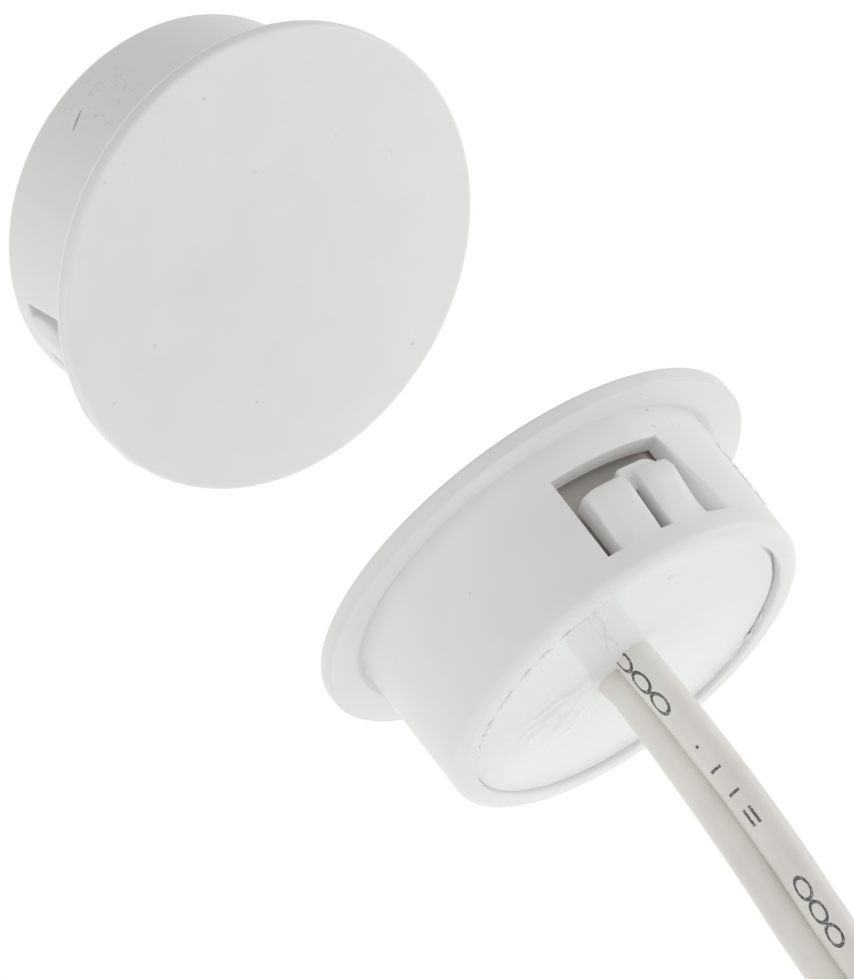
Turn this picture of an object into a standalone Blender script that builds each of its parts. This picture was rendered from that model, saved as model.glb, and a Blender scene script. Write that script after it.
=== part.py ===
"""Recessed magnetic contact for a door or window: a wired switch half and its magnet half.

Both halves use the same snap-in housing, and lie on their sides, face to face, on one surface.
Every shape of a half is modelled upright about the Z axis: the flange's seat is at z = 0, the
domed face looks down and the barrel's open rear end is up. An empty then lays the half down.
Lengths are metres.
"""

import math

import bmesh
import bpy
from mathutils import Matrix, Vector

MM = 0.001

# Housing, one moulding that both halves use
BARREL_DIAMETER = 19.05 * MM
BARREL_LENGTH = 7.4 * MM
BARREL_WALL = 1.1 * MM
REAR_EDGE_RADIUS = 0.5 * MM
RIM_CHAMFER = 0.15 * MM
FLANGE_OVERHANG = 1.98 * MM
FLANGE_EDGE = 0.85 * MM
FLANGE_ROUND = 0.25 * MM
SEAT_EDGE_RADIUS = 0.12 * MM
SEAT_FILLET = 0.15 * MM
DOME_RISE = 0.45 * MM
FACE_WALL = 1.2 * MM
TURNED_SEGMENTS = 72

# Snap clips, two opposite ones
CLIP_COUNT = 2
WINDOW_START = 1.45 * MM
REAR_BAND = 1.4 * MM
WINDOW_WIDTH = 6.0 * MM
WINDOW_FLARE = 0.9 * MM
WINDOW_CUT_MARGIN = 1.4 * MM
CLIP_SIDE_SLOT = 0.55 * MM
CLIP_MIDDLE_SLOT = 0.6 * MM
CLIP_SETBACK = 1.45 * MM
CLIP_THICKNESS = 1.0 * MM
BARB_HEIGHT = 0.45 * MM
BARB_LAND = 0.35 * MM
NOSE_SETBACK = 0.65 * MM
NOSE_THICKNESS = 0.45 * MM
NOSE_END_SETBACK = 0.75 * MM
NOSE_OVERLAP = 0.6 * MM
NOSE_INSET = 0.45 * MM
NOSE_LIFT = 0.1 * MM
CLIP_BEVEL = 0.16 * MM
CLIP_SINK = 0.3 * MM
CLIP_STEPS = 4
ROUND_SIDES = 24

# Insert cups that close the clip pockets and hold the inner parts
FIT_GAP = 0.2 * MM
CLIP_TRAVEL = 0.8 * MM
CUP_WALL = 0.7 * MM
CUP_FLOOR = 0.7 * MM
CUP_LIP = 0.5 * MM
LIP_TO_WINDOW = 0.15 * MM
SADDLE_WIDTH = 1.0 * MM
SADDLE_SPACING = 6.0 * MM
SADDLE_HEIGHT = 1.3 * MM

# Resin fill
FILL_RECESS = 0.45 * MM
MENISCUS_RISE = 0.12 * MM
MENISCUS_WIDTH = 0.4 * MM

# Reed switch
GLASS_DIAMETER = 2.0 * MM
GLASS_WALL = 0.25 * MM
GLASS_LIFT = 0.4 * MM
GLASS_TO_BEND = 0.2 * MM
BLADE_WIRE = 0.5 * MM
BLADE_WIDTH = 0.9 * MM
BLADE_THICKNESS = 0.2 * MM
BLADE_OVERLAP = 0.8 * MM
BLADE_GAP = 0.16 * MM
WIRE_HOLE_GAP = 0.12 * MM
BEAD_TO_CUP = 0.655 * MM
BEAD_HEIGHT = 0.7 * MM
BEAD_WALL = 0.3 * MM
BEAD_SIDES = 16
LEAD_STUB = 0.4 * MM

# Twin lead
LOBE_DIAMETER = 1.75 * MM
LOBE_PITCH = 1.7 * MM
LEG_DIAMETER = 1.6 * MM
CONDUCTOR_DIAMETER = 0.6 * MM
LEG_CLEARANCE = 0.25 * MM
LEG_SIDES = 12
INNER_BARE_LENGTH = 1.53 * MM

# Magnet
MAGNET_TO_CUP = 1.025 * MM
MAGNET_HEIGHT = 3.0 * MM
MAGNET_CHAMFER = 0.3 * MM
MAGNET_SEGMENTS = 48

# How the two halves lie
HALF_SPACING = 24.0 * MM
HALF_OFFSET = 1.74 * MM
SWITCH_CLIP_ANGLE = math.radians(4.6)
MAGNET_CLIP_ANGLE = math.radians(-112.5)

# Lead's route on the switch half's side, and the coil that stores the rest of it
LEAD_ROUTE = [
    (17.30, -0.87, 9.57),
    (18.69, -0.87, 9.18),
    (22.54, -0.87, 8.10),
    (26.40, -0.87, 6.85),
    (30.10, -0.87, 5.38),
    (33.10, -0.90, 4.05),
    (36.80, -0.92, 2.75),
    (40.70, -0.94, 2.05),
    (42.20, -0.95, 1.98),
]
LEAD_STEP = 3.2 * MM
LEG_STEP = 1.7 * MM
COIL_CENTRE = (52.5 * MM, -20.6 * MM)
COIL_MEAN_RADIUS = 18.2 * MM
COIL_TURNS_WIDE = 2
COIL_SEGMENTS = 48
TIE_THICKNESS = 0.3 * MM
TIE_WIDTH = 2.6 * MM
TIE_GAP = 0.15 * MM
TIE_ANGLE = math.radians(205.0)
LEG_A_ROUTE = [(60.05, -7.52, 0.9), (63.40, -11.20, 0.9), (64.70, -15.90, 0.9), (63.90, -20.30, 0.9)]
LEG_B_ROUTE = [(59.13, -9.12, 0.9), (61.10, -12.30, 0.9), (60.40, -16.70, 0.9), (58.40, -20.10, 0.9)]
BARE_END = 5.0 * MM

# Colours
WHITE = (0.80, 0.80, 0.78)
CARRIER_GREY = (0.46, 0.43, 0.39)
RESIN = (0.86, 0.87, 0.86)
VINYL = (0.62, 0.60, 0.55)
PAPER = (0.85, 0.84, 0.80)
GLASS_TINT = (0.75, 0.85, 0.78)
STEEL = (0.62, 0.60, 0.55)
SOLDER = (0.70, 0.70, 0.70)
NICKEL = (0.66, 0.65, 0.62)
COPPER = (0.75, 0.45, 0.28)

# Sizes that follow from the ones above
BARREL_RADIUS = BARREL_DIAMETER / 2
FLANGE_RADIUS = BARREL_RADIUS + FLANGE_OVERHANG
BORE_RADIUS = BARREL_RADIUS - BARREL_WALL
FACE_FLOOR = FACE_WALL - FLANGE_EDGE - DOME_RISE
WINDOW_END = BARREL_LENGTH - REAR_BAND
WINDOW_CUT_REACH = BARREL_RADIUS + WINDOW_CUT_MARGIN
CUP_BOTTOM = FACE_FLOOR + FIT_GAP
CUP_INSIDE = CUP_BOTTOM + CUP_FLOOR
CUP_RADIUS = BORE_RADIUS - FIT_GAP
CUP_FLAT = BARREL_RADIUS - CLIP_THICKNESS - CLIP_TRAVEL
CUP_INNER_RADIUS = CUP_RADIUS - CUP_WALL
CUP_INNER_FLAT = CUP_FLAT - CUP_WALL
MAGNET_RADIUS = CUP_INNER_FLAT - MAGNET_TO_CUP
LIP_TOP = WINDOW_END + LIP_TO_WINDOW
LIP_BOTTOM = LIP_TOP - CUP_LIP
FILL_TOP = BARREL_LENGTH - FILL_RECESS
FILL_BOTTOM = CUP_INSIDE + FIT_GAP
FILL_STEP = LIP_TOP + FIT_GAP
GLASS_RADIUS = GLASS_DIAMETER / 2
BEAD_RADIUS = BLADE_WIRE / 2 + WIRE_HOLE_GAP + BEAD_WALL
BEND_RADIUS = 2 * BLADE_WIRE
UPRIGHT_PLACE = CUP_INNER_RADIUS - BEAD_TO_CUP - BEAD_RADIUS
GLASS_HALF_LENGTH = UPRIGHT_PLACE - BEND_RADIUS - GLASS_TO_BEND
BARE_OUTER_PLACE = UPRIGHT_PLACE - BEAD_RADIUS - FIT_GAP / 2
BARE_INNER_PLACE = BARE_OUTER_PLACE - INNER_BARE_LENGTH
REED_LEVEL = CUP_INSIDE + GLASS_LIFT + GLASS_RADIUS
LEG_LEVEL = REED_LEVEL + GLASS_RADIUS + LEG_CLEARANCE + LEG_DIAMETER / 2
CHANNEL_TOP = LEG_LEVEL + LEG_DIAMETER / 2 + FIT_GAP
LEAD_WIDTH = LOBE_PITCH + LOBE_DIAMETER
COIL_HALF_WIDTH = COIL_TURNS_WIDE * LOBE_DIAMETER / 2 + 0.1 * MM
COIL_BOTTOM = TIE_THICKNESS + TIE_GAP


def rest_lean():
    """Angle between the surface and the half's axis, and the height of the axis at the seat.

    The half rests on two rounded edges, so the surface is their common tangent.
    """
    seat_z, seat_r = -SEAT_EDGE_RADIUS, FLANGE_RADIUS - SEAT_EDGE_RADIUS
    rear_z, rear_r = BARREL_LENGTH - REAR_EDGE_RADIUS, BARREL_RADIUS - REAR_EDGE_RADIUS
    run = rear_z - seat_z
    drop = seat_r - rear_r
    lean = math.atan2(drop, run) - math.asin((REAR_EDGE_RADIUS - SEAT_EDGE_RADIUS) / math.hypot(run, drop))
    height = math.sin(lean) * seat_z + math.cos(lean) * seat_r + SEAT_EDGE_RADIUS
    return lean, height


def half_matrix(side, clip_angle):
    """Matrix that lays a half down. Side is 1 for the switch half and -1 for the magnet half."""
    lean, height = rest_lean()
    rearward = Vector((side * math.cos(lean), 0.0, -math.sin(lean)))
    upward = Vector((side * math.sin(lean), 0.0, math.cos(lean)))
    clip_way = math.cos(clip_angle) * upward + math.sin(clip_angle) * Vector((0.0, 1.0, 0.0))
    across = rearward.cross(clip_way)
    matrix = Matrix((clip_way, across, rearward)).transposed().to_4x4()
    matrix.translation = Vector((side * HALF_SPACING / 2, -side * HALF_OFFSET / 2, height))
    return matrix


def clear_scene():
    """Remove every object of the scene."""
    for item in list(bpy.data.objects):
        bpy.data.objects.remove(item, do_unlink=True)


def make_material(name, color, roughness, metallic=0.0, transmission=0.0):
    """Principled material of one sub-part."""
    material = bpy.data.materials.new(name)
    material.use_nodes = True
    shader = material.node_tree.nodes["Principled BSDF"]
    shader.inputs["Base Color"].default_value = (*color, 1.0)
    shader.inputs["Roughness"].default_value = roughness
    shader.inputs["Metallic"].default_value = metallic
    shader.inputs["Transmission Weight"].default_value = transmission
    return material


def finish_mesh(shape, name, weld=1e-7):
    """Weld a bmesh, turn its faces outwards and return it as a mesh."""
    bmesh.ops.remove_doubles(shape, verts=shape.verts[:], dist=weld)
    bmesh.ops.recalc_face_normals(shape, faces=shape.faces[:])
    mesh = bpy.data.meshes.new(name)
    shape.to_mesh(mesh)
    shape.free()
    return mesh


def add_object(name, mesh, material=None, parent=None):
    """Link a mesh to the scene as an object, shaded smooth across its shallow edges."""
    item = bpy.data.objects.new(name, mesh)
    bpy.context.scene.collection.objects.link(item)
    mesh.shade_smooth()
    mesh.set_sharp_from_angle(angle=math.radians(35.0))
    if material is not None:
        mesh.materials.clear()
        mesh.materials.append(material)
    if parent is not None:
        item.parent = parent
    return item


def arc(centre_r, centre_z, radius_r, radius_z, start, end, steps):
    """Points of an elliptical arc in a turned profile; angles in degrees from +r towards +z."""
    points = []
    for index in range(steps + 1):
        angle = math.radians(start + (end - start) * index / steps)
        points.append((centre_r + radius_r * math.cos(angle), centre_z + radius_z * math.sin(angle)))
    return points


def turned(name, profile, segments=TURNED_SEGMENTS):
    """Solid of revolution about Z from a profile of (radius, z) points.

    A profile that begins and ends on the axis gives a plain solid, any other one a ring.
    """
    shape = bmesh.new()
    verts = [shape.verts.new((r, 0.0, z)) for r, z in profile]
    edges = [shape.edges.new(pair) for pair in zip(verts, verts[1:])]
    if profile[0][0] > 0.0:
        edges.append(shape.edges.new((verts[-1], verts[0])))
    bmesh.ops.spin(shape, geom=verts + edges, cent=(0, 0, 0), axis=(0, 0, 1), angle=2 * math.pi,
                   steps=segments, use_merge=False)
    return finish_mesh(shape, name)


def turned_piece(name, profile, first_angle, last_angle, steps):
    """Closed sector of a turned solid between two angles about Z."""
    shape = bmesh.new()
    section = shape.faces.new([shape.verts.new((r, 0.0, z)) for r, z in profile])
    turn = Matrix.Rotation(first_angle, 3, "Z")
    bmesh.ops.rotate(shape, verts=shape.verts[:], cent=(0, 0, 0), matrix=turn)
    bmesh.ops.spin(shape, geom=[section] + list(section.verts) + list(section.edges), cent=(0, 0, 0),
                   axis=(0, 0, 1), angle=last_angle - first_angle, steps=steps, use_merge=False)
    return finish_mesh(shape, name)


def prism(name, outline, low, high):
    """Straight solid on an outline of (x, y) points."""
    shape = bmesh.new()
    base = shape.faces.new([shape.verts.new((x, y, low)) for x, y in outline])
    grown = bmesh.ops.extrude_face_region(shape, geom=[base], use_keep_orig=True)
    moved = [part for part in grown["geom"] if isinstance(part, bmesh.types.BMVert)]
    bmesh.ops.translate(shape, verts=moved, vec=(0.0, 0.0, high - low))
    return finish_mesh(shape, name)


def block(name, low, high):
    """Box between two corners."""
    outline = [(low[0], low[1]), (high[0], low[1]), (high[0], high[1]), (low[0], high[1])]
    return prism(name, outline, low[2], high[2])


def flatted_ring(radius, flat, z):
    """Ring of points on a circle whose two sides are cut off at x = flat and x = -flat."""
    points = []
    for index in range(TURNED_SEGMENTS):
        angle = 2 * math.pi * index / TURNED_SEGMENTS
        x = max(-flat, min(flat, radius * math.cos(angle)))
        points.append(Vector((x, radius * math.sin(angle), z)))
    return points


def stacked(name, rings):
    """Closed solid through a stack of rings with equal counts, capped at both ends."""
    shape = bmesh.new()
    rows = [[shape.verts.new(point) for point in ring] for ring in rings]
    count = len(rings[0])
    for lower, upper in zip(rows, rows[1:]):
        for index in range(count):
            following = (index + 1) % count
            shape.faces.new((lower[index], lower[following], upper[following], upper[index]))
    shape.faces.new(rows[0])
    shape.faces.new(rows[-1])
    bmesh.ops.remove_doubles(shape, verts=shape.verts[:], dist=1e-7)
    bmesh.ops.dissolve_degenerate(shape, edges=shape.edges[:], dist=1e-7)
    return finish_mesh(shape, name)


def combined(name, mesh, joined=(), cut=(), bevel_joined=0.0):
    """Mesh with others joined to it and then others cut from it, by Boolean modifiers.

    The work is done in millimetres, where the modifiers' own merge distances are small.
    """
    for shape in (mesh, *joined, *cut):
        shape.transform(Matrix.Scale(1 / MM, 4))
    base = add_object(name + "_blank", mesh)
    helpers = []
    for operation, shapes in (("UNION", joined), ("DIFFERENCE", cut)):
        for index, shape in enumerate(shapes):
            helper = add_object(f"{name}_{operation.lower()}_{index}", shape)
            helper.display_type = "WIRE"
            helper.hide_render = True
            if operation == "UNION" and bevel_joined:
                bevel = helper.modifiers.new("rounded edges", "BEVEL")
                bevel.width = bevel_joined / MM
                bevel.segments = 2
                bevel.limit_method = "ANGLE"
                bevel.angle_limit = math.radians(50.0)
            helpers.append(helper)
            step = base.modifiers.new(f"{operation.lower()} {index}", "BOOLEAN")
            step.operation = operation
            step.solver = "EXACT"
            step.object = helper
    bpy.context.view_layer.update()
    evaluated = base.evaluated_get(bpy.context.evaluated_depsgraph_get())
    result = bpy.data.meshes.new_from_object(evaluated)
    result.name = name
    result.transform(Matrix.Scale(MM, 4))
    for helper in helpers + [base]:
        bpy.data.objects.remove(helper, do_unlink=True)
    return result


def turned_about(mesh, angle):
    """Copy of a mesh turned about Z."""
    copy = mesh.copy()
    copy.transform(Matrix.Rotation(angle, 4, "Z"))
    return copy


def housing_profile():
    """Turned profile of flange and barrel, from the middle of the face to the inner floor."""
    face = -FLANGE_EDGE
    dome_radius = FLANGE_RADIUS - FLANGE_ROUND
    dome = []
    for index in range(6):
        share = index / 6
        dome.append((dome_radius * share, face - DOME_RISE * (1 - share * share)))
    edge = arc(dome_radius, face + FLANGE_ROUND, FLANGE_ROUND, FLANGE_ROUND, -90, 0, 4)
    seat = arc(FLANGE_RADIUS - SEAT_EDGE_RADIUS, -SEAT_EDGE_RADIUS, SEAT_EDGE_RADIUS, SEAT_EDGE_RADIUS,
               45, 90, 1)
    root = arc(BARREL_RADIUS + SEAT_FILLET, SEAT_FILLET, SEAT_FILLET, SEAT_FILLET, 270, 180, 2)
    rear = arc(BARREL_RADIUS - REAR_EDGE_RADIUS, BARREL_LENGTH - REAR_EDGE_RADIUS, REAR_EDGE_RADIUS,
               REAR_EDGE_RADIUS, 0, 90, 4)
    rim = [(BORE_RADIUS + RIM_CHAMFER, BARREL_LENGTH), (BORE_RADIUS, BARREL_LENGTH - RIM_CHAMFER)]
    floor = [(BORE_RADIUS, FACE_FLOOR), (0.0, FACE_FLOOR)]
    return dome + edge + seat + root + rear + rim + floor


def clip_prong_profile():
    """Side profile of a prong: a barb at its free end and a ramp down to the barrel at its root."""
    free_end = WINDOW_START + CLIP_SETBACK
    inner = BARREL_RADIUS - CLIP_THICKNESS
    crest = BARREL_RADIUS + BARB_HEIGHT
    return [
        (inner, WINDOW_END + CLIP_SINK),
        (inner, free_end + BARB_LAND / 2),
        (inner + BARB_LAND / 2, free_end),
        (crest - BARB_LAND, free_end),
        (crest - BARB_LAND / 4, free_end + BARB_LAND / 3),
        (crest, free_end + BARB_LAND),
        (BARREL_RADIUS - BARB_HEIGHT / 8, WINDOW_END + CLIP_SINK),
    ]


def clip_nose():
    """Thin nose that bridges the prongs below their outer faces and reaches past one of them."""
    inner = BARREL_RADIUS - CLIP_THICKNESS + NOSE_LIFT
    tip = WINDOW_START + NOSE_SETBACK
    root = WINDOW_END - NOSE_END_SETBACK
    low_y = CLIP_SIDE_SLOT - WINDOW_WIDTH / 2 + NOSE_INSET
    high_y = NOSE_OVERLAP
    corner = (high_y - low_y) / 3
    outline = [(low_y, root), (low_y, tip + corner), (low_y + corner / 3, tip + corner / 3),
               (low_y + corner, tip), (high_y - corner / 2, tip), (high_y, tip + corner / 2),
               (high_y, root)]
    plate = prism("nose", outline, 0.0, NOSE_THICKNESS)
    plate.transform(Matrix(((0, 0, 1, inner), (1, 0, 0, 0), (0, 1, 0, 0), (0, 0, 0, 1))))
    return plate


def window_flare():
    """Sloped side of a window, which widens towards the rear of the barrel."""
    inner_x = BARREL_RADIUS - CLIP_THICKNESS
    side = -WINDOW_WIDTH / 2
    edge_y = side - WINDOW_FLARE
    edge_x = math.sqrt(BARREL_RADIUS ** 2 - edge_y ** 2)
    outer_x = WINDOW_CUT_REACH
    outer_y = side + (edge_y - side) * (outer_x - inner_x) / (edge_x - inner_x)
    overlap = side + CLIP_SIDE_SLOT / 2
    points = [(inner_x, overlap, WINDOW_START), (outer_x, overlap, WINDOW_START),
              (outer_x, side, WINDOW_START), (inner_x, side, WINDOW_START),
              (inner_x, overlap, WINDOW_END), (outer_x, overlap, WINDOW_END),
              (outer_x, outer_y, WINDOW_END), (inner_x, side, WINDOW_END)]
    shape = bmesh.new()
    verts = [shape.verts.new(point) for point in points]
    bmesh.ops.convex_hull(shape, input=verts)
    return finish_mesh(shape, "flare")


def housing_mesh():
    """Flange, barrel and snap clips of one moulding."""
    inner = BARREL_RADIUS - CLIP_THICKNESS
    window = block("window", (inner - CLIP_TRAVEL, -WINDOW_WIDTH / 2, WINDOW_START),
                   (WINDOW_CUT_REACH, WINDOW_WIDTH / 2, WINDOW_END))
    cutters = []
    clips = []
    near = math.asin(CLIP_MIDDLE_SLOT / 2 / BARREL_RADIUS)
    far = math.asin((WINDOW_WIDTH / 2 - CLIP_SIDE_SLOT) / BARREL_RADIUS)
    for index in range(CLIP_COUNT):
        turn = 2 * math.pi * index / CLIP_COUNT
        cutters += [turned_about(window, turn), turned_about(window_flare(), turn)]
        for first, last in ((near, far), (-far, -near)):
            prong = turned_piece("prong", clip_prong_profile(), first, last, CLIP_STEPS)
            clips.append(turned_about(prong, turn))
        clips.append(turned_about(clip_nose(), turn))
    shell = combined("housing_shell", turned("shell", housing_profile()), cut=cutters)
    return combined("housing", shell, joined=clips, bevel_joined=CLIP_BEVEL)


def cup_mesh(name):
    """Insert cup with a flat behind each clip and a round lip above the windows."""
    return stacked(name, [
        flatted_ring(CUP_RADIUS, CUP_FLAT, CUP_BOTTOM),
        flatted_ring(CUP_RADIUS, CUP_FLAT, LIP_BOTTOM),
        flatted_ring(CUP_RADIUS, CUP_RADIUS, LIP_BOTTOM),
        flatted_ring(CUP_RADIUS, CUP_RADIUS, LIP_TOP),
        flatted_ring(CUP_INNER_RADIUS, CUP_INNER_FLAT, LIP_TOP),
        flatted_ring(CUP_INNER_RADIUS, CUP_INNER_FLAT, CUP_INSIDE),
    ])


def saddle(centre_y):
    """Rest with a round notch, moulded on the cup's floor, that carries the reed's glass."""
    half = SADDLE_WIDTH / 2
    rest = block("saddle", (-GLASS_RADIUS - half, centre_y - half, CUP_BOTTOM + CUP_FLOOR / 2),
                 (GLASS_RADIUS + half, centre_y + half, CUP_INSIDE + SADDLE_HEIGHT))
    notch = turned("notch", [(0.0, -SADDLE_WIDTH), (GLASS_RADIUS + FIT_GAP, -SADDLE_WIDTH),
                             (GLASS_RADIUS + FIT_GAP, SADDLE_WIDTH), (0.0, SADDLE_WIDTH)], ROUND_SIDES)
    notch.transform(Matrix.Translation((0.0, centre_y, REED_LEVEL)) @ Matrix.Rotation(math.pi / 2, 4, "X"))
    return combined("saddle", rest, cut=[notch])


def fill_rings(recess_radius, recess_top):
    """Rings of a resin fill, from the top of the recess in its underside to its bare surface."""
    radius = CUP_INNER_RADIUS - FIT_GAP
    flat = CUP_INNER_FLAT - FIT_GAP
    lid = CUP_RADIUS
    level = lid - MENISCUS_WIDTH
    return [
        flatted_ring(recess_radius, recess_radius, recess_top),
        flatted_ring(recess_radius, recess_radius, FILL_BOTTOM),
        flatted_ring(radius, flat, FILL_BOTTOM),
        flatted_ring(radius, flat, FILL_STEP),
        flatted_ring(lid, lid, FILL_STEP),
        flatted_ring(lid, lid, FILL_TOP + MENISCUS_RISE),
        flatted_ring(lid - MENISCUS_WIDTH / 2, lid, FILL_TOP + MENISCUS_RISE / 4),
        flatted_ring(level, level, FILL_TOP),
    ]


def switch_fill_mesh():
    """Resin of the switch half, with a channel over the reed and a bore for the lead."""
    plain = stacked("switch_fill", fill_rings(GLASS_RADIUS, FILL_BOTTOM + FIT_GAP))
    end_y = UPRIGHT_PLACE + BLADE_WIRE + FIT_GAP
    side = GLASS_RADIUS + SADDLE_WIDTH / 2 + FIT_GAP
    below = FILL_BOTTOM - FIT_GAP
    reed_top = REED_LEVEL + GLASS_RADIUS + FIT_GAP
    reed_way = block("reed_way", (-side, -end_y, below), (side, end_y, reed_top))
    leg_side = LEG_DIAMETER / 2 + FIT_GAP
    leg_way = block("leg_way", (-leg_side, -end_y, below), (leg_side, end_y, CHANNEL_TOP))
    bore_radius = LEAD_WIDTH / 2 + FIT_GAP
    bore_low = CHANNEL_TOP - FIT_GAP - FIT_GAP
    bore_high = BARREL_LENGTH
    profile = [(0.0, bore_low), (bore_radius, bore_low), (bore_radius, bore_high), (0.0, bore_high)]
    bore = turned("bore", profile, ROUND_SIDES)
    return combined("switch_fill", plain, cut=[reed_way, leg_way, bore])


def magnet_fill_mesh():
    """Resin of the magnet half, which covers the magnet and closes the barrel."""
    top = CUP_INSIDE + FIT_GAP + MAGNET_HEIGHT + FIT_GAP
    return stacked("magnet_fill", fill_rings(MAGNET_RADIUS + FIT_GAP, top))


def magnet_mesh():
    """Disc magnet with broken edges."""
    low = CUP_INSIDE + FIT_GAP
    high = low + MAGNET_HEIGHT
    shoulder = MAGNET_RADIUS - MAGNET_CHAMFER
    profile = [(0.0, low), (shoulder, low), (MAGNET_RADIUS, low + MAGNET_CHAMFER),
               (MAGNET_RADIUS, high - MAGNET_CHAMFER),
               (shoulder, high), (0.0, high)]
    return turned("magnet", profile, MAGNET_SEGMENTS)


def glass_mesh():
    """Glass tube of the reed, necked around its two wires."""
    half = GLASS_HALF_LENGTH
    hole = BLADE_WIRE / 2 + WIRE_HOLE_GAP
    inner = GLASS_RADIUS - GLASS_WALL
    shoulder = half - 2 * GLASS_WALL
    outer_side = [(GLASS_RADIUS, -shoulder), (GLASS_RADIUS, shoulder)]
    inner_side = [(inner, shoulder - GLASS_WALL), (inner, GLASS_WALL - shoulder)]
    profile = [(hole, -half), ((hole + GLASS_RADIUS) / 2, -half + GLASS_WALL / 3)] + outer_side
    profile += [((hole + GLASS_RADIUS) / 2, half - GLASS_WALL / 3), (hole, half)]
    profile.append((hole, half - 2 * GLASS_WALL))
    profile += inner_side + [(hole, 2 * GLASS_WALL - half)]
    mesh = turned("reed_glass", profile, ROUND_SIDES)
    mesh.transform(Matrix.Translation((0.0, 0.0, REED_LEVEL)) @ Matrix.Rotation(math.pi / 2, 4, "X"))
    return mesh


def lofted(name, stations, sides=8):
    """Solid through elliptical sections along a path in the YZ plane.

    A station is (y, z, half width along X, half thickness in the YZ plane).
    """
    rings = []
    for index, (y, z, wide, thick) in enumerate(stations):
        before = stations[max(index - 1, 0)]
        after = stations[min(index + 1, len(stations) - 1)]
        tangent = Vector((0.0, after[0] - before[0], after[1] - before[1])).normalized()
        normal = Vector((1.0, 0.0, 0.0)).cross(tangent)
        ring = []
        for step in range(sides):
            angle = 2 * math.pi * (step + 0.5) / sides
            ring.append(Vector((0.0, y, z)) + wide * math.cos(angle) * Vector((1.0, 0.0, 0.0))
                        + thick * math.sin(angle) * normal)
        rings.append(ring)
    return stacked(name, rings)


def blade_mesh(name, way):
    """Reed blade and its wire in one: flat in the glass, round outside, bent up to its solder bead."""
    wire = BLADE_WIRE / 2
    offset = way * (BLADE_THICKNESS / 2 + BLADE_GAP / 2)
    flat = (BLADE_WIDTH / 2, BLADE_THICKNESS / 2)
    neck = GLASS_HALF_LENGTH - 3 * GLASS_WALL
    top = LEG_LEVEL + BEAD_HEIGHT / 2 + LEAD_STUB
    stations = [
        (way * BLADE_OVERLAP / 2, REED_LEVEL + offset, *flat),
        (-way * neck / 3, REED_LEVEL + offset, *flat),
        (-way * neck * 2 / 3, REED_LEVEL + offset / 2, *flat),
        (-way * neck, REED_LEVEL, wire, wire),
        (-way * (UPRIGHT_PLACE - BEND_RADIUS), REED_LEVEL, wire, wire),
    ]
    for step in (1, 2, 3):
        angle = math.radians(30.0 * step)
        stations.append((-way * (UPRIGHT_PLACE - BEND_RADIUS * (1 - math.sin(angle))),
                         REED_LEVEL + BEND_RADIUS * (1 - math.cos(angle)), wire, wire))
    stations.append((-way * UPRIGHT_PLACE, top, wire, wire))
    return lofted(name, stations)


def bead_mesh(name, way):
    """Solder bead round the upright end of a reed wire."""
    hole = BLADE_WIRE / 2 + WIRE_HOLE_GAP
    half = BEAD_HEIGHT / 2
    low, high = LEG_LEVEL - half, LEG_LEVEL + half
    profile = [(hole, low), (hole + BEAD_WALL / 2, low), (BEAD_RADIUS, LEG_LEVEL - half / 3),
               (BEAD_RADIUS, LEG_LEVEL + half / 3), (hole + BEAD_WALL / 2, high), (hole, high)]
    mesh = turned(name, profile, BEAD_SIDES)
    mesh.transform(Matrix.Translation((0.0, -way * UPRIGHT_PLACE, 0.0)))
    return mesh


def inner_leg_mesh(name, way):
    """Leg of the split lead, from below the lead's end to beside the reed's wire."""
    radius = LEG_DIAMETER / 2
    top = CHANNEL_TOP - FIT_GAP / 2
    start = radius + FIT_GAP / 2
    places = [(start, top), (start + radius / 4, LEG_LEVEL + radius / 3), (start + radius, LEG_LEVEL),
              (BARE_INNER_PLACE - FIT_GAP / 2, LEG_LEVEL)]
    return lofted(name, [(-way * y, z, radius, radius) for y, z in places], LEG_SIDES)


def inner_conductor_mesh(name, way):
    """Bare strands between a leg and its solder bead."""
    radius = CONDUCTOR_DIAMETER / 2
    middle = (BARE_INNER_PLACE + BARE_OUTER_PLACE) / 2
    stations = [(-way * y, LEG_LEVEL, radius, radius) for y in (BARE_INNER_PLACE, middle, BARE_OUTER_PLACE)]
    return lofted(name, stations)


def smooth_points(route, step):
    """Points in metres on a smooth curve through a route given in millimetres."""
    knots = [Vector(point) * MM for point in route]
    padded = [2 * knots[0] - knots[1]] + knots + [2 * knots[-1] - knots[-2]]
    points = [knots[0]]
    for index in range(1, len(padded) - 2):
        p0, p1, p2, p3 = padded[index - 1:index + 3]
        pieces = max(1, round((p2 - p1).length / step))
        for piece in range(1, pieces + 1):
            t = piece / pieces
            points.append(0.5 * (2 * p1 + (p2 - p0) * t + (2 * p0 - 5 * p1 + 4 * p2 - p3) * t ** 2
                                 + (3 * p1 - p0 - 3 * p2 + p3) * t ** 3))
    return points


def add_tube(name, points, diameter, material):
    """Round tube along points, with filled ends."""
    curve = bpy.data.curves.new(name, "CURVE")
    curve.dimensions = "3D"
    curve.bevel_depth = diameter / 2
    curve.bevel_resolution = 2
    curve.use_fill_caps = True
    curve.materials.append(material)
    spline = curve.splines.new("POLY")
    spline.points.add(len(points) - 1)
    for target, point in zip(spline.points, points):
        target.co = (*point, 1.0)
    item = bpy.data.objects.new(name, curve)
    bpy.context.scene.collection.objects.link(item)
    return item


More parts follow.
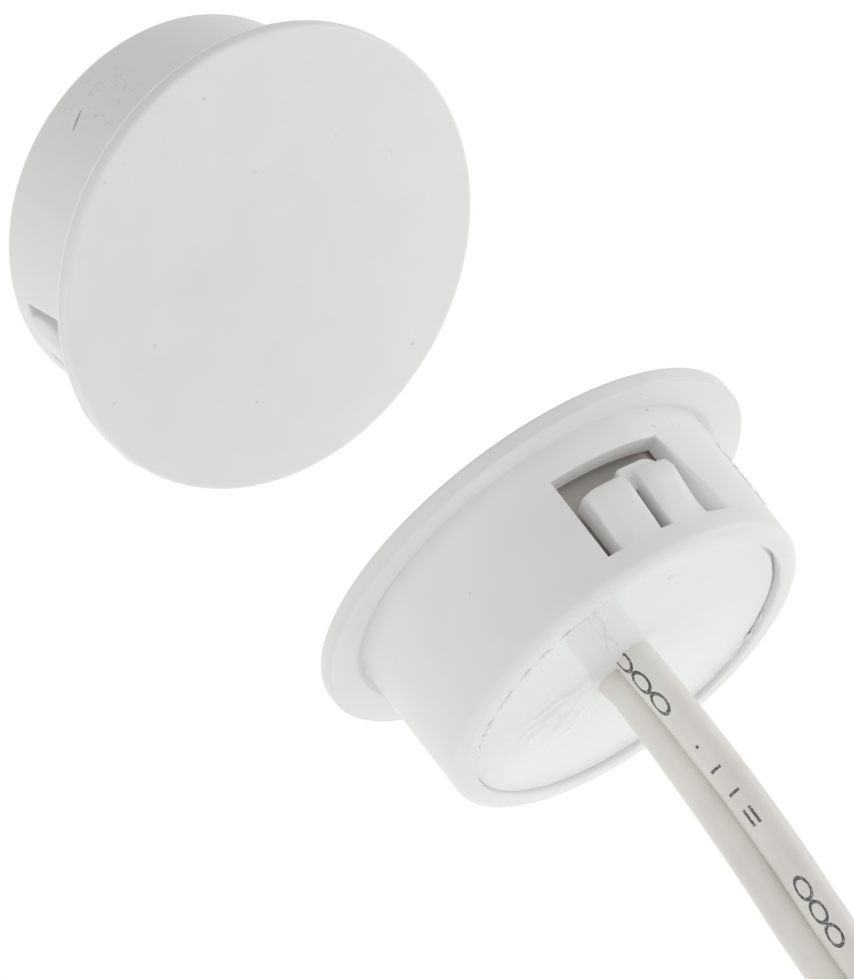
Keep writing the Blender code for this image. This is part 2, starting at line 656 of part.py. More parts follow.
def coil_mesh():
    """Outer shape of the coiled lead: its turns stand side by side on their edges."""
    low, high = COIL_BOTTOM, COIL_BOTTOM + LEAD_WIDTH
    inner = COIL_MEAN_RADIUS - COIL_HALF_WIDTH
    outer = COIL_MEAN_RADIUS + COIL_HALF_WIDTH
    round_off = LOBE_DIAMETER / 3
    profile = [(inner, low + round_off), (inner + round_off, low), (outer - round_off, low),
               (outer, low + round_off), (outer, high - round_off), (outer - round_off, high),
               (inner + round_off, high), (inner, high - round_off)]
    mesh = turned("cable_coil", profile, COIL_SEGMENTS)
    mesh.transform(Matrix.Translation((*COIL_CENTRE, 0.0)))
    return mesh


def tie_mesh():
    """Paper band round the coil's turns."""
    rings = []
    for side in (-TIE_WIDTH / 2, TIE_WIDTH / 2):
        for grow in (0.0, TIE_THICKNESS):
            half = COIL_HALF_WIDTH + TIE_GAP + grow
            low = COIL_BOTTOM - TIE_GAP - grow
            high = COIL_BOTTOM + LEAD_WIDTH + TIE_GAP + grow
            rings.append([Vector((COIL_MEAN_RADIUS + x, side, z))
                          for x, z in ((-half, low), (half, low), (half, high), (-half, high))])
    inner_near, outer_near, inner_far, outer_far = rings
    shape = bmesh.new()
    loops = [[shape.verts.new(point) for point in ring]
             for ring in (inner_near, outer_near, outer_far, inner_far)]
    for first, second in zip(loops, loops[1:] + loops[:1]):
        for index in range(4):
            following = (index + 1) % 4
            shape.faces.new((first[index], first[following], second[following], second[index]))
    mesh = finish_mesh(shape, "coil_tie")
    mesh.transform(Matrix.Translation((*COIL_CENTRE, 0.0)) @ Matrix.Rotation(TIE_ANGLE, 4, "Z"))
    return mesh


def add_frame(name, matrix):
    """Empty that carries the pieces of one half."""
    empty = bpy.data.objects.new(name, None)
    bpy.context.scene.collection.objects.link(empty)
    empty.matrix_world = matrix
    return empty


def build_switch_half():
    """Wired half: housing, insert cup, reed, its joints and the resin."""
    frame = add_frame("switch_half", half_matrix(1, SWITCH_CLIP_ANGLE))
    add_object("switch_housing", housing_mesh(), make_material("housing_white", WHITE, 0.45), frame)
    cup = combined("reed_carrier", cup_mesh("reed_cup"),
                   joined=[saddle(SADDLE_SPACING / 2), saddle(-SADDLE_SPACING / 2)])
    add_object("reed_carrier", cup, make_material("carrier_grey", CARRIER_GREY, 0.5), frame)
    glass = make_material("reed_glass", GLASS_TINT, 0.05, 0.0, 0.9)
    add_object("reed_glass", glass_mesh(), glass, frame)
    for letter, way in (("a", 1), ("b", -1)):
        steel = make_material(f"blade_metal_{letter}", STEEL, 0.25, 1.0)
        add_object(f"reed_blade_{letter}", blade_mesh(f"blade_{letter}", way), steel, frame)
        solder = make_material(f"solder_{letter}", SOLDER, 0.3, 1.0)
        add_object(f"solder_bead_{letter}", bead_mesh(f"bead_{letter}", way), solder, frame)
        vinyl = make_material(f"leg_vinyl_{letter}", VINYL, 0.5)
        add_object(f"inner_leg_{letter}", inner_leg_mesh(f"leg_{letter}", way), vinyl, frame)
        strands = make_material(f"strands_{letter}", COPPER, 0.3, 1.0)
        core = inner_conductor_mesh(f"conductor_{letter}", way)
        add_object(f"inner_conductor_{letter}", core, strands, frame)
    add_object("switch_fill", switch_fill_mesh(), make_material("resin_white", RESIN, 0.12), frame)


def build_magnet_half():
    """Magnet half: the same housing, with a magnet held by its cup and the resin."""
    frame = add_frame("magnet_half", half_matrix(-1, MAGNET_CLIP_ANGLE))
    white = make_material("magnet_housing_white", WHITE, 0.45)
    add_object("magnet_housing", housing_mesh(), white, frame)
    carrier = make_material("magnet_cup", CARRIER_GREY, 0.5)
    add_object("magnet_carrier", cup_mesh("magnet_cup"), carrier, frame)
    add_object("magnet", magnet_mesh(), make_material("magnet_nickel", NICKEL, 0.22, 1.0), frame)
    add_object("magnet_fill", magnet_fill_mesh(), make_material("magnet_resin", RESIN, 0.12), frame)


def build_lead():
    """Twin lead from the resin to its coil, the tie, and the split and stripped far end."""
    vinyl = make_material("lead_vinyl", VINYL, 0.45)
    add_tube("lead_cable", smooth_points(LEAD_ROUTE, LEAD_STEP), LEAD_WIDTH, vinyl)
    add_object("cable_coil", coil_mesh(), make_material("coil_vinyl", VINYL, 0.45))
    add_object("coil_tie", tie_mesh(), make_material("tie_paper", PAPER, 0.7))
    for letter, route in (("a", LEG_A_ROUTE), ("b", LEG_B_ROUTE)):
        points = smooth_points(route, LEG_STEP)
        vinyl = make_material(f"leg_end_{letter}", VINYL, 0.45)
        add_tube(f"lead_leg_{letter}", points, LOBE_DIAMETER, vinyl)
        way = (points[-1] - points[-2]).normalized()
        bare = [points[-1] + way * share for share in (FIT_GAP, BARE_END / 2, BARE_END)]
        strands = make_material(f"bare_strands_{letter}", COPPER, 0.3, 1.0)
        add_tube(f"conductor_end_{letter}", bare, CONDUCTOR_DIAMETER, strands)


clear_scene()
build_switch_half()
build_magnet_half()
build_lead()
bpy.context.view_layer.update()
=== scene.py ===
"""Looks of the recessed magnetic contact: a wired switch half and its magnet half.

The file is laid out as an add-on and is run as a script. Each operator models one piece or one
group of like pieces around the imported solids, and the stage operator adds floor, light and camera.
Lengths are metres, and the route points are millimetres. Every shape of a half is modelled upright
about the Z axis, with the flange's seat at z = 0 and the open rear end up, and is then laid down
like the solid that it stands for.
"""

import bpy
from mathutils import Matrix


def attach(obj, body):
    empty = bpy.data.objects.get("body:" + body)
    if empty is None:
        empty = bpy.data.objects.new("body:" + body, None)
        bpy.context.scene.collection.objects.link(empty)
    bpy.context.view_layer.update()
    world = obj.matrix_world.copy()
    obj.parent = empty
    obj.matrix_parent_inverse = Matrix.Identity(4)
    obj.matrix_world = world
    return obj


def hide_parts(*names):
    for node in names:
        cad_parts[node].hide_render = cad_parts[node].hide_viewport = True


bl_info = {
    "name": "Recessed magnetic contact",
    "version": (1, 0, 0),
    "blender": (4, 5, 0),
    "location": "3D View > Sidebar > Contact",
    "description": "Models a press-in magnetic contact, its flat lead and a plain studio stage",
    "category": "Add Mesh",
}

import math

import bmesh
import bpy
from mathutils import Matrix, Vector, noise

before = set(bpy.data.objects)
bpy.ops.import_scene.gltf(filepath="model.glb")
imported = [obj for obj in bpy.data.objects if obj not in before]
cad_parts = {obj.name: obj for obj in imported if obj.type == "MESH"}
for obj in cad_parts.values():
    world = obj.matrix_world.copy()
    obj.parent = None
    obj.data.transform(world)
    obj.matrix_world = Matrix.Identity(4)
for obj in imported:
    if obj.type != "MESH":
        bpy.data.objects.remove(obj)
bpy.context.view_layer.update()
MM = 0.001


def length(name, description, millimetres):
    """Length property with a default in millimetres."""
    return bpy.props.FloatProperty(name=name, description=description, default=millimetres * MM,
                                   unit="LENGTH", precision=5)


def turn(name, description, degrees):
    """Angle property with a default in degrees."""
    return bpy.props.FloatProperty(name=name, description=description, default=math.radians(degrees),
                                   unit="ROTATION")


def share(name, description, value, low=0.0, high=1.0):
    """Plain number property."""
    return bpy.props.FloatProperty(name=name, description=description, default=value, min=low, max=high)


def colour(name, description, value):
    """Colour property."""
    return bpy.props.FloatVectorProperty(name=name, description=description, default=value,
                                         subtype="COLOR", size=3, min=0.0, max=1.0)


class ContactHousing(bpy.types.PropertyGroup):
    """Sizes and finish of the moulding that both halves use."""

    barrel_diameter: length("Barrel diameter", "Outside of the barrel, for a 3/4 in hole", 19.05)
    barrel_length: length("Barrel length", "From the flange's seat to the rear rim", 7.4)
    barrel_wall: length("Barrel wall", "Thickness of the barrel's wall", 1.1)
    rear_edge: length("Rear edge", "Radius of the rim's outer edge", 0.5)
    rim_chamfer: length("Rim chamfer", "Broken inner edge of the rim", 0.15)
    flange_overhang: length("Flange overhang", "Reach of the flange past the barrel", 1.98)
    flange_edge: length("Flange edge", "Depth of the flange at its edge", 0.85)
    flange_round: length("Flange rounding", "Radius of the face's edge", 0.25)
    seat_edge: length("Seat edge", "Radius of the seat's outer edge", 0.12)
    seat_fillet: length("Seat crease", "Depth of the fine crease between seat and barrel", 0.18)
    burr: length("Burr", "Height of the gate's burr on the flange", 0.1)
    dome_rise: length("Dome rise", "Height of the domed face", 0.45)
    face_wall: length("Face wall", "Thickness of the face", 1.2)
    window_start: length("Window start", "From the seat to the clip window", 1.45)
    rear_band: length("Rear band", "Wall behind the clip window", 1.4)
    window_width: length("Window width", "Width of the clip window", 6.0)
    window_flare: length("Window flare", "Run of the window's sloped side", 0.9)
    side_slot: length("Side slot", "Gap beside a prong", 0.55)
    middle_slot: length("Middle slot", "Gap between the prongs", 0.6)
    clip_setback: length("Clip setback", "From the window's start to the prongs' free ends", 1.45)
    barb_height: length("Barb height", "Height of a prong above the barrel", 0.45)
    clip_shift: length("Clip shift", "How far the prongs sit off the window's middle", -0.2)
    clip_slope: length("Clip slope", "Drop of a prong's bevelled sides", 0.3)
    clip_edge: length("Clip edge", "Radius of the prongs' edges", 0.12)
    flare_edge: length("Flared edge", "Radius of the edge on the window's sloped side", 0.3)
    nose_setback: length("Nose setback", "From the window's start to the nose", 0.8)
    nose_thickness: length("Nose thickness", "Thickness of the nose below the prongs", 0.55)
    plastic: colour("Plastic", "Colour of the moulding", (0.85, 0.85, 0.835))
    roughness: share("Roughness", "Roughness of the moulded surface", 0.42)
    grain_size: length("Grain size", "Size of the spark-eroded grain", 0.16)
    grain_depth: length("Grain depth", "Depth of the grain", 0.006)


class ContactRest(bpy.types.PropertyGroup):
    """How the two halves lie on the surface."""

    spacing: length("Spacing", "Distance between the two seats", 24.0)
    offset: length("Offset", "Sideways offset of the two axes", 1.74)
    switch_clip: turn("Switch clip", "Turn of the switch half's clip from straight up", 4.6)
    magnet_clip: turn("Magnet clip", "Turn of the magnet half's clip from straight up", -112.5)


class ContactResin(bpy.types.PropertyGroup):
    """Resin that closes the barrels."""

    recess: length("Recess", "Depth of the resin below the rim", 0.42)
    meniscus: length("Meniscus", "Rise of the resin at the wall", 0.16)
    ripple: length("Ripple", "Height of the slow ripples", 0.012)
    skin: length("Skin", "Height of the crumpled skin beside the lead", 0.12)
    crack: length("Crack", "Depth of the gap where the resin has left the wall", 0.4)
    resin: colour("Resin", "Colour of the resin", (0.86, 0.87, 0.86))
    roughness: share("Roughness", "Roughness of the cured surface", 0.07)


class ContactLead(bpy.types.PropertyGroup):
    """Flat twin lead and its coil."""

    lobe_diameter: length("Lobe diameter", "Diameter of each insulated core", 1.85)
    lobe_pitch: length("Lobe pitch", "Distance between the two cores", 1.7)
    web: length("Web", "Thickness of the web between the cores", 0.5)
    flare: share("Flare", "Share by which the lower core's end swells at the resin", 0.2)
    lay: turn("Lay", "Rise of the flat side where the lead leaves the resin", 82.0)
    lay_dip: turn("Lay dip", "How much further the flat side lies down along the free stretch", 27.0)
    coil_radius: length("Coil radius", "Middle radius of the coil's turns", 17.7)
    coil_level: length("Coil level", "Height of the coil's middle", 2.175)
    vinyl: colour("Vinyl", "Colour of the insulation", (0.845, 0.82, 0.775))
    roughness: share("Roughness", "Roughness of the insulation", 0.4)
    ink: colour("Ink", "Colour of the length marks", (0.05, 0.05, 0.05))


class ContactEnds(bpy.types.PropertyGroup):
    """Split legs, bare strands and the coil's tie."""

    strand_diameter: length("Strand diameter", "Diameter of one strand", 0.2)
    strand_count: bpy.props.IntProperty(name="Strands", description="Strands around the middle one",
                                        default=6)
    tie_width: length("Tie width", "Width of the paper tie", 2.6)
    tie_thickness: length("Tie thickness", "Thickness of the paper tie", 0.2)
    tie_angle: turn("Tie angle", "Place of the tie on the coil", 205.0)
    copper: colour("Copper", "Colour of the strands", (0.80, 0.42, 0.26))
    paper: colour("Paper", "Colour of the tie", (0.80, 0.79, 0.75))


class ContactInside(bpy.types.PropertyGroup):
    """Finishes of the parts inside the barrels."""

    carrier: colour("Carrier", "Colour of the insert cups", (0.60, 0.56, 0.52))
    glass: colour("Glass", "Tint of the reed's glass", (0.75, 0.85, 0.78))
    steel: colour("Steel", "Colour of the reed's blades", (0.62, 0.60, 0.55))
    solder: colour("Solder", "Colour of the solder", (0.70, 0.70, 0.70))
    nickel: colour("Nickel", "Colour of the magnet's plating", (0.66, 0.65, 0.62))


class ContactStage(bpy.types.PropertyGroup):
    """Floor, light and camera."""

    azimuth: turn("Azimuth", "Way in which the camera looks, from +Y towards -X", 54.3)
    elevation: turn("Elevation", "Height of the camera above the horizon", 41.77)
    distance: length("Distance", "From the camera to the magnet half's middle", 600.0)
    lens: bpy.props.FloatProperty(name="Lens", description="Focal length in millimetres", default=539.5)
    aim_right: length("Aim right", "Place of the picture's middle, to the right of the magnet half", 7.77)
    aim_down: length("Aim down", "Place of the picture's middle, below the magnet half", 11.02)
    floor_size: length("Floor size", "Side of the floor", 3000.0)
    floor_glow: share("Floor glow", "Light that the white ground gives off by itself", 0.83)
    floor_tone: share("Floor tone", "Share of the light that the white ground throws back", 0.3)
    sky: share("Sky", "Strength of the even light from all round", 0.46, 0.0, 4.0)
    key: share("Key", "Power of the soft lamp at the right, in watts", 0.45, 0.0, 100.0)
    fill: share("Fill", "Power of the soft lamp near the camera, in watts", 0.55, 0.0, 100.0)
    back: share("Back", "Power of the soft lamp behind the object, in watts", 1.1, 0.0, 100.0)


# Free stretch of the lead in millimetres; the solids follow it too
LEAD_ROUTE = [
    (17.30, -0.87, 9.57),
    (18.69, -0.87, 9.18),
    (22.54, -0.87, 8.10),
    (26.40, -0.87, 6.85),
    (30.10, -0.87, 5.38),
    (33.10, -0.90, 4.05),
    (36.80, -0.92, 2.75),
    (40.70, -0.94, 2.05),
    (42.20, -0.95, 1.98),
]
# Way from the free stretch to the coil, which the solids don't follow
JOINING_ROUTE = [(46.0, -0.62, 2.0), (50.0, -0.20, 2.14)]
# Coil: its middle in millimetres, its first angle and its run in degrees, the gap between its turns
COIL_CENTRE = (51.9, -20.1)
COIL_START = 86.0
COIL_RUN = 736.0
TURN_GAP = 0.03 * MM
# Places along the lead, from the resin: where its flat side has lain down, where it begins to rise
# again and over what length, and the middle and reach of the swollen core
LAID_DOWN = 17.0 * MM
RISE_START = 19.0 * MM
RISE_RUN = 16.0 * MM
SWELL_MIDDLE = 1.6 * MM
SWELL_REACH = 0.55 * MM
# Length marks: shift of their row along the lead and how far apart they stand
MARK_START = 1.2 * MM
MARK_PITCH = 1.35 * MM
# Routes of the two split legs in millimetres; the solids follow them too
LEG_ROUTES = {
    "a": [(60.05, -7.52, 0.9), (63.40, -11.20, 0.9), (64.70, -15.90, 0.9), (63.90, -20.30, 0.9)],
    "b": [(59.13, -9.12, 0.9), (61.10, -12.30, 0.9), (60.40, -16.70, 0.9), (58.40, -20.10, 0.9)],
}
# Bare end of a leg, how deep its strands are rooted and how much slimmer than a core a leg is
BARE_END = 5.0 * MM
STRAND_ROOT = 0.4 * MM
LEG_SLIMMER = 0.05 * MM
# Paper tie: gaps beside and above the turns, and the radius of its corners
TIE_SIDE_GAP = 0.12 * MM
TIE_TOP_GAP = 0.1 * MM
TIE_CORNER = 0.7 * MM
# Resin in the insert cup: from the barrel's skin to the cup's flats, from the bore to its round
# wall, the height of its floor over the seat, and the cup's rim over the clip window's end
CUP_FLAT = 2.7 * MM
CUP_WALL = 1.1 * MM
CUP_FLOOR = 1.0 * MM
CUP_RIM = 0.35 * MM
# Middle of the scuffs on the magnet half's barrel, as it lies
SCUFF_SPOT = (-19.1 * MM, -3.3 * MM, 17.9 * MM)
SCUFF_REACH = 2.9 * MM
# Ends of the scrape on the upright barrel: degrees around it and millimetres from the seat
SCRAPE_ENDS = ((74.0, 4.96), (80.0, 5.32))
# Crescent on the upright half's face: its circle's middle, the way from there to its bow, its radius
SCRATCH_SPOT = (-7.43 * MM, -0.26 * MM)
SCRATCH_TURN = math.radians(137)
SCRATCH_RADIUS = 0.34 * MM
# Angle of the flash around the upright barrel
FLASH_ANGLE = math.radians(-51)
# Marks of the mould's gate on the flange: angle and reach in degrees, and share of the burr's height
GATE_MARKS = ((-17, 3.5, 1.0), (4, 3.0, 0.7))
# How strongly the painted shade on the flange's rim and the scuffs show, and their tones as shares of the
# plastic's
PAINTED_RIM_SHADE_SHARE = 0.6
PAINTED_RIM_SHADE_TONE = 0.88
SCUFF_SHARE = 0.34
SCUFF_TONE = 0.5
# Colour of the painted highlight on the magnet half's flange rim
PAINTED_HIGHLIGHT_LINE = (0.99, 0.99, 0.975)
# Tones of smudges and specks, as shares of a finish's colour
SMUDGE_TONE = 0.86
SPECK_TONE = 0.55
# Soft lamps in metres: their places, their size and the spot that they are turned to
LAMP_PLACES = {"key": (0.60, 0.05, 0.30), "fill": (0.15, -0.42, 0.38), "back": (0.15, 0.60, 0.20)}
LAMP_SIZE = (0.5, 0.4)
LAMP_AIM = Vector((0.0, 0.0, 0.01))
# Height of the point at the magnet half from which the camera's distance and aim are measured
TARGET_HEIGHT = 10.97 * MM


def metres(points):
    """Vectors in metres from points in millimetres."""
    return [Vector(point) * MM for point in points]


def on_circle(radius, angle, height=0.0):
    """Point around the Z axis."""
    return Vector((radius * math.cos(angle), radius * math.sin(angle), height))


def smooth_points(knots, step):
    """Points on a smooth curve through some knots, about one step apart."""
    padded = [2 * knots[0] - knots[1]] + knots + [2 * knots[-1] - knots[-2]]
    points = [knots[0].copy()]
    for index in range(1, len(padded) - 2):
        p0, p1, p2, p3 = padded[index - 1:index + 3]
        pieces = max(1, round((p2 - p1).length / step))
        for piece in range(1, pieces + 1):
            t = piece / pieces
            points.append(0.5 * (2 * p1 + (p2 - p0) * t + (2 * p0 - 5 * p1 + 4 * p2 - p3) * t ** 2
                                 + (3 * p1 - p0 - 3 * p2 + p3) * t ** 3))
    return points


def path_length(points):
    """Length of a polyline."""
    return sum((b - a).length for a, b in zip(points, points[1:]))


def rest_lean(housing):
    """Angle between surface and axis of a half that rests on two edges, and its axis's height."""
    barrel_radius = housing.barrel_diameter / 2
    seat_z, seat_r = -housing.seat_edge, barrel_radius + housing.flange_overhang - housing.seat_edge
    rear_z, rear_r = housing.barrel_length - housing.rear_edge, barrel_radius - housing.rear_edge
    run = rear_z - seat_z
    drop = seat_r - rear_r
    edges = housing.rear_edge - housing.seat_edge
    lean = math.atan2(drop, run) - math.asin(edges / math.hypot(run, drop))
    return lean, math.sin(lean) * seat_z + math.cos(lean) * seat_r + housing.seat_edge


def half_matrix(scene, side):
    """Matrix that lays a half down. Side is 1 for the switch half and -1 for the magnet half."""
    lean, height = rest_lean(scene.contact_housing)
    rest = scene.contact_rest
    clip = rest.switch_clip if side > 0 else rest.magnet_clip
    rearward = Vector((side * math.cos(lean), 0.0, -math.sin(lean)))
    upward = Vector((side * math.sin(lean), 0.0, math.cos(lean)))
    clip_way = math.cos(clip) * upward + math.sin(clip) * Vector((0.0, 1.0, 0.0))
    matrix = Matrix((clip_way, rearward.cross(clip_way), rearward)).transposed().to_4x4()
    matrix.translation = Vector((side * rest.spacing / 2, -side * rest.offset / 2, height))
    return matrix


def in_scene(name, data):
    """Object made of some data and linked to the scene."""
    item = bpy.data.objects.new(name, data)
    bpy.context.scene.collection.objects.link(item)
    return item


def bridge(shape, first, second):
    """Faces between two loops of vertices."""
    count = len(first)
    after = [*range(1, count), 0]
    return [shape.faces.new((first[index], first[after[index]], second[after[index]], second[index]))
            for index in range(count)]


def fan(shape, row, height):
    """Faces between a loop of vertices and a point on the axis."""
    hub = shape.verts.new((0.0, 0.0, height))
    for index, vert in enumerate(row):
        shape.faces.new((vert, row[(index + 1) % len(row)], hub))


def to_mesh(shape, name):
    """Mesh from a bmesh, with its faces turned outwards."""
    bmesh.ops.recalc_face_normals(shape, faces=shape.faces[:])
    mesh = bpy.data.meshes.new(name)
    shape.to_mesh(mesh)
    shape.free()
    return mesh


def place(name, mesh, material, replaced=(), matrix=None, sharp=40.0):
    """Add a mesh to the scene as a piece of the object."""
    if matrix is not None:
        mesh.transform(matrix)
    mesh.shade_smooth()
    mesh.set_sharp_from_angle(angle=math.radians(sharp))
    mesh.materials.clear()
    mesh.materials.append(material)
    item = in_scene(name, mesh)
    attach(item, "root")
    if replaced:
        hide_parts(*replaced)
    return item


def worked(name, mesh, steps):
    """Mesh after some modifiers, worked in millimetres, where their own merge distances are small."""
    mesh.transform(Matrix.Scale(1 / MM, 4))
    item = in_scene(name, mesh)
    helpers = [step(item) for step in steps]
    bpy.context.view_layer.update()
    evaluated = item.evaluated_get(bpy.context.evaluated_depsgraph_get())
    result = bpy.data.meshes.new_from_object(evaluated)
    result.transform(Matrix.Scale(MM, 4))
    for helper in [item] + [helper for helper in helpers if helper is not None]:
        bpy.data.objects.remove(helper, do_unlink=True)
    return result


def rounded(width, method):
    """Step that rounds the edges with a bevel weight, or by ANGLE those sharper than 40 degrees."""
    def step(item):
        bevel = item.modifiers.new("rounded edges", "BEVEL")
        bevel.width = width / MM
        bevel.segments = 3
        bevel.limit_method = method
        bevel.angle_limit = math.radians(40.0)
    return step


def joined(mesh):
    """Step that joins another mesh to the first one."""
    def step(item):
        mesh.transform(Matrix.Scale(1 / MM, 4))
        helper = in_scene("joined", mesh)
        union = item.modifiers.new("union", "BOOLEAN")
        union.operation = "UNION"
        union.solver = "EXACT"
        union.object = helper
        return helper
    return step


def arc(centre_r, centre_z, radius_r, radius_z, start, end, steps):
    """Points of an elliptical arc in a turned profile; angles in degrees from +r towards +z."""
    points = []
    for index in range(steps + 1):
        angle = math.radians(start + (end - start) * index / steps)
        points.append((centre_r + radius_r * math.cos(angle), centre_z + radius_z * math.sin(angle)))
    return points


class Moulding:
    """Grid of rings and columns that makes flange, barrel, clip windows and prongs as one closed skin.

    A column is a place on the half turn around one clip. Rings run from the middle of the face over
    the flange and the barrel to the rim, and down the bore to the inner floor.
    """

    SIDE_CELLS = 30
    PRONG_CELLS = 9
    DOME_RINGS = 15
    CREST_SETBACK = 0.5 * MM
    TIP_DROP = 0.17 * MM

    def __init__(self, housing):
        self.size = housing
        self.radius = housing.barrel_diameter / 2
        self.bore = self.radius - housing.barrel_wall
        self.window_end = housing.barrel_length - housing.rear_band
        self.free_end = housing.window_start + housing.clip_setback
        self.crest = self.free_end + self.CREST_SETBACK
        run = self.window_end - self.crest
        start = housing.window_start
        self.window_rows = [start, start + housing.clip_setback / 2, self.free_end]
        self.window_rows += [self.crest + run * part for part in (0.0, 0.25, 0.5, 0.75, 0.93, 1.0)]
        self.window_places = self.places()
        self.columns = self.half_turn()
        self.rings = self.profile()
        self.shape = bmesh.new()
        self.verts = {}
        self.weights = self.shape.edges.layers.float.new("bevel_weight_edge")
        # Mask of the flange's rim, which carries its painted shade and painted highlight
        self.rim = self.shape.verts.layers.float.new("flange_rim")

    def places(self):
        """Sideways places of the columns across a window."""
        edge = self.size.window_width / 2
        outer = edge - self.size.side_slot
        inner = self.size.middle_slot / 2
        prong = [inner + (outer - inner) * index / self.PRONG_CELLS for index in range(self.PRONG_CELLS + 1)]
        shift = self.size.clip_shift
        middle = [shift - y for y in reversed(prong)] + [shift] + [shift + y for y in prong]
        return [-edge, (middle[0] - edge) / 2] + middle + [(middle[-1] + edge) / 2, edge]

    def half_turn(self):
        """Columns of a half turn: before, across and after the window."""
        before = [("before", index / self.SIDE_CELLS) for index in range(self.SIDE_CELLS)]
        across = [("across", y) for y in self.window_places]
        after = [("after", index / self.SIDE_CELLS) for index in range(1, self.SIDE_CELLS)]
        return before + across + after

    def profile(self):
        """Rings as (zone, radius, z), from the middle of the face to the inner floor."""
        size = self.size
        flange = self.radius + size.flange_overhang
        dome = flange - size.flange_round
        top = size.barrel_length
        rings = []
        for index in range(1, self.DOME_RINGS):
            part = index / self.DOME_RINGS
            rings.append(("skin", dome * part, -size.flange_edge - size.dome_rise * (1 - part * part)))
        rounding = size.flange_round
        edge = arc(dome, rounding - size.flange_edge, rounding, rounding, -90, 0, 6)
        seat = arc(flange - size.seat_edge, -size.seat_edge, size.seat_edge, size.seat_edge, 18, 90, 4)
        middle = [(flange - size.flange_overhang * part, 0.0) for part in (0.35, 0.7)]
        crease = size.seat_fillet
        root = [(self.radius + 2.2 * crease, 0.0), (self.radius + 1.7 * crease, -0.15 * crease),
                (self.radius + crease, -0.8 * crease), (self.radius + 0.3 * crease, -0.9 * crease),
                (self.radius, -0.3 * crease), (self.radius, crease)]
        rings += [("skin", r, z) for r, z in edge + seat + middle + root]
        rings += [("barrel", self.radius, z) for z in (0.6 * MM, 1.1 * MM)]
        rings += [("window", self.radius, z) for z in self.window_rows]
        rings.append(("barrel", self.radius, (self.window_end + top - size.rear_edge) / 2))
        rear = size.rear_edge
        rings += [("barrel", r, z) for r, z in arc(self.radius - rear, top - rear, rear, rear, 0, 90, 7)]
        inner = size.rim_chamfer
        rings += [("bore", r, z) for r, z in arc(self.bore + inner, top - inner, inner, inner, 90, 180, 4)]
        rings += [("bore", self.bore, top - size.rear_band / 2)]
        rings += [("bore window", self.bore, z) for z in reversed(self.window_rows)]
        floor = size.face_wall - size.flange_edge - size.dome_rise
        rings += [("bore", self.bore, (size.window_start + floor) / 2), ("bore", self.bore, floor)]
        rings += [("bore", self.bore * part, floor) for part in (0.75, 0.5, 0.25)]
        return rings

    def barb(self, y, z):
        """Place of a prong's outer face: sideways, radius and along the axis."""
        size = self.size
        edge = size.window_width / 2 - size.side_slot
        inner = size.middle_slot / 2
        across = (abs(y - size.clip_shift) - inner) / (edge - inner) * self.PRONG_CELLS
        drop = max(0.0, (z - self.crest) / (self.window_end - self.crest))
        outer_bevel = edge - (0.36 + 0.48 * drop) * MM
        inner_bevel = inner + (0.5 - 0.3 * drop) * MM
        part = min(1.0, max(0.0, (across - 1) / (self.PRONG_CELLS - 2)))
        side = inner_bevel + (outer_bevel - inner_bevel) * part
        slope = 0.0
        if across < 0.5:
            side, slope = inner, 0.6 * size.clip_slope * (1 - drop)
        elif across > self.PRONG_CELLS - 0.5:
            side, slope = edge, size.clip_slope * (1 - drop ** 6)
        end = self.TIP_DROP if z <= self.free_end else 0.0
        radius = self.radius + size.barb_height * (1 - drop) - slope - end
        return size.clip_shift + math.copysign(side, y - size.clip_shift), radius, z

    def angle(self, column, radius, low, high):
        """Angle of a column on a ring whose window reaches from low to high."""
        kind, value = column
        if kind == "across":
            value = low if value == self.window_places[0] else value
            return math.asin(value / radius)
        if kind == "after":
            start = math.asin(high / radius)
            return start + (math.pi / 2 - start) * value
        start = math.asin(-low / radius)
        return -math.pi / 2 + (math.pi / 2 - start) * value

    def vert(self, ring, column):
        """Vertex of a ring and column, made when it is first needed."""
        column %= 2 * len(self.columns)
        if (ring, column) not in self.verts:
            half, index = divmod(column, len(self.columns))
            zone, radius, z = self.rings[ring]
            low, high = self.window_places[0], self.window_places[-1]
            kind, value = self.columns[index]
            reference = self.bore if "bore" in zone else self.radius
            if zone in ("barrel", "window"):
                start, end = self.size.window_start, self.window_end
                low -= self.size.window_flare * min(1.0, max(0.0, (z - start) / (end - start)))
            if zone == "window" and kind == "across" and self.is_prong(ring, value):
                side, radius, z = self.barb(value, z)
                angle = math.asin(side / radius) + math.pi * half
            else:
                angle = self.angle(self.columns[index], reference, low, high) + math.pi * half
            far_out = radius > self.radius + self.size.flange_overhang * 0.9
            if zone == "skin" and abs(z) < 0.13 * MM and far_out:
                radius += self.burr(angle)
            spot = (radius * math.cos(angle), radius * math.sin(angle), z)
            vert = self.shape.verts.new(spot)
            # Rim vertices take the painted shade, and on the magnet half also the painted highlight
            on_rim = zone == "skin" and -1.05 * self.size.seat_edge < z < 0 and radius > self.radius + MM
            vert[self.rim] = 1.0 if on_rim else 0.0
            self.verts[ring, column] = vert
        return self.verts[ring, column]

    def burr(self, angle):
        """Extra radius of the flange's rear edge where the mould's gate was broken off."""
        gate = sum(part * math.exp(-((math.degrees(angle) - middle) / reach) ** 2)
                   for middle, reach, part in GATE_MARKS)
        return self.size.burr * gate * (0.6 + noise.noise(Vector((angle * 60, 0.0, 0.0))))

    def is_prong(self, ring, y):
        """Whether a window column at this ring lies on a prong."""
        z = self.rings[ring][2]
        edge = self.size.window_width / 2 - self.size.side_slot
        on_prong = self.size.middle_slot / 2 - MM / 100 <= abs(y - self.size.clip_shift) <= edge + MM / 100
        return on_prong and self.free_end <= z < self.window_end

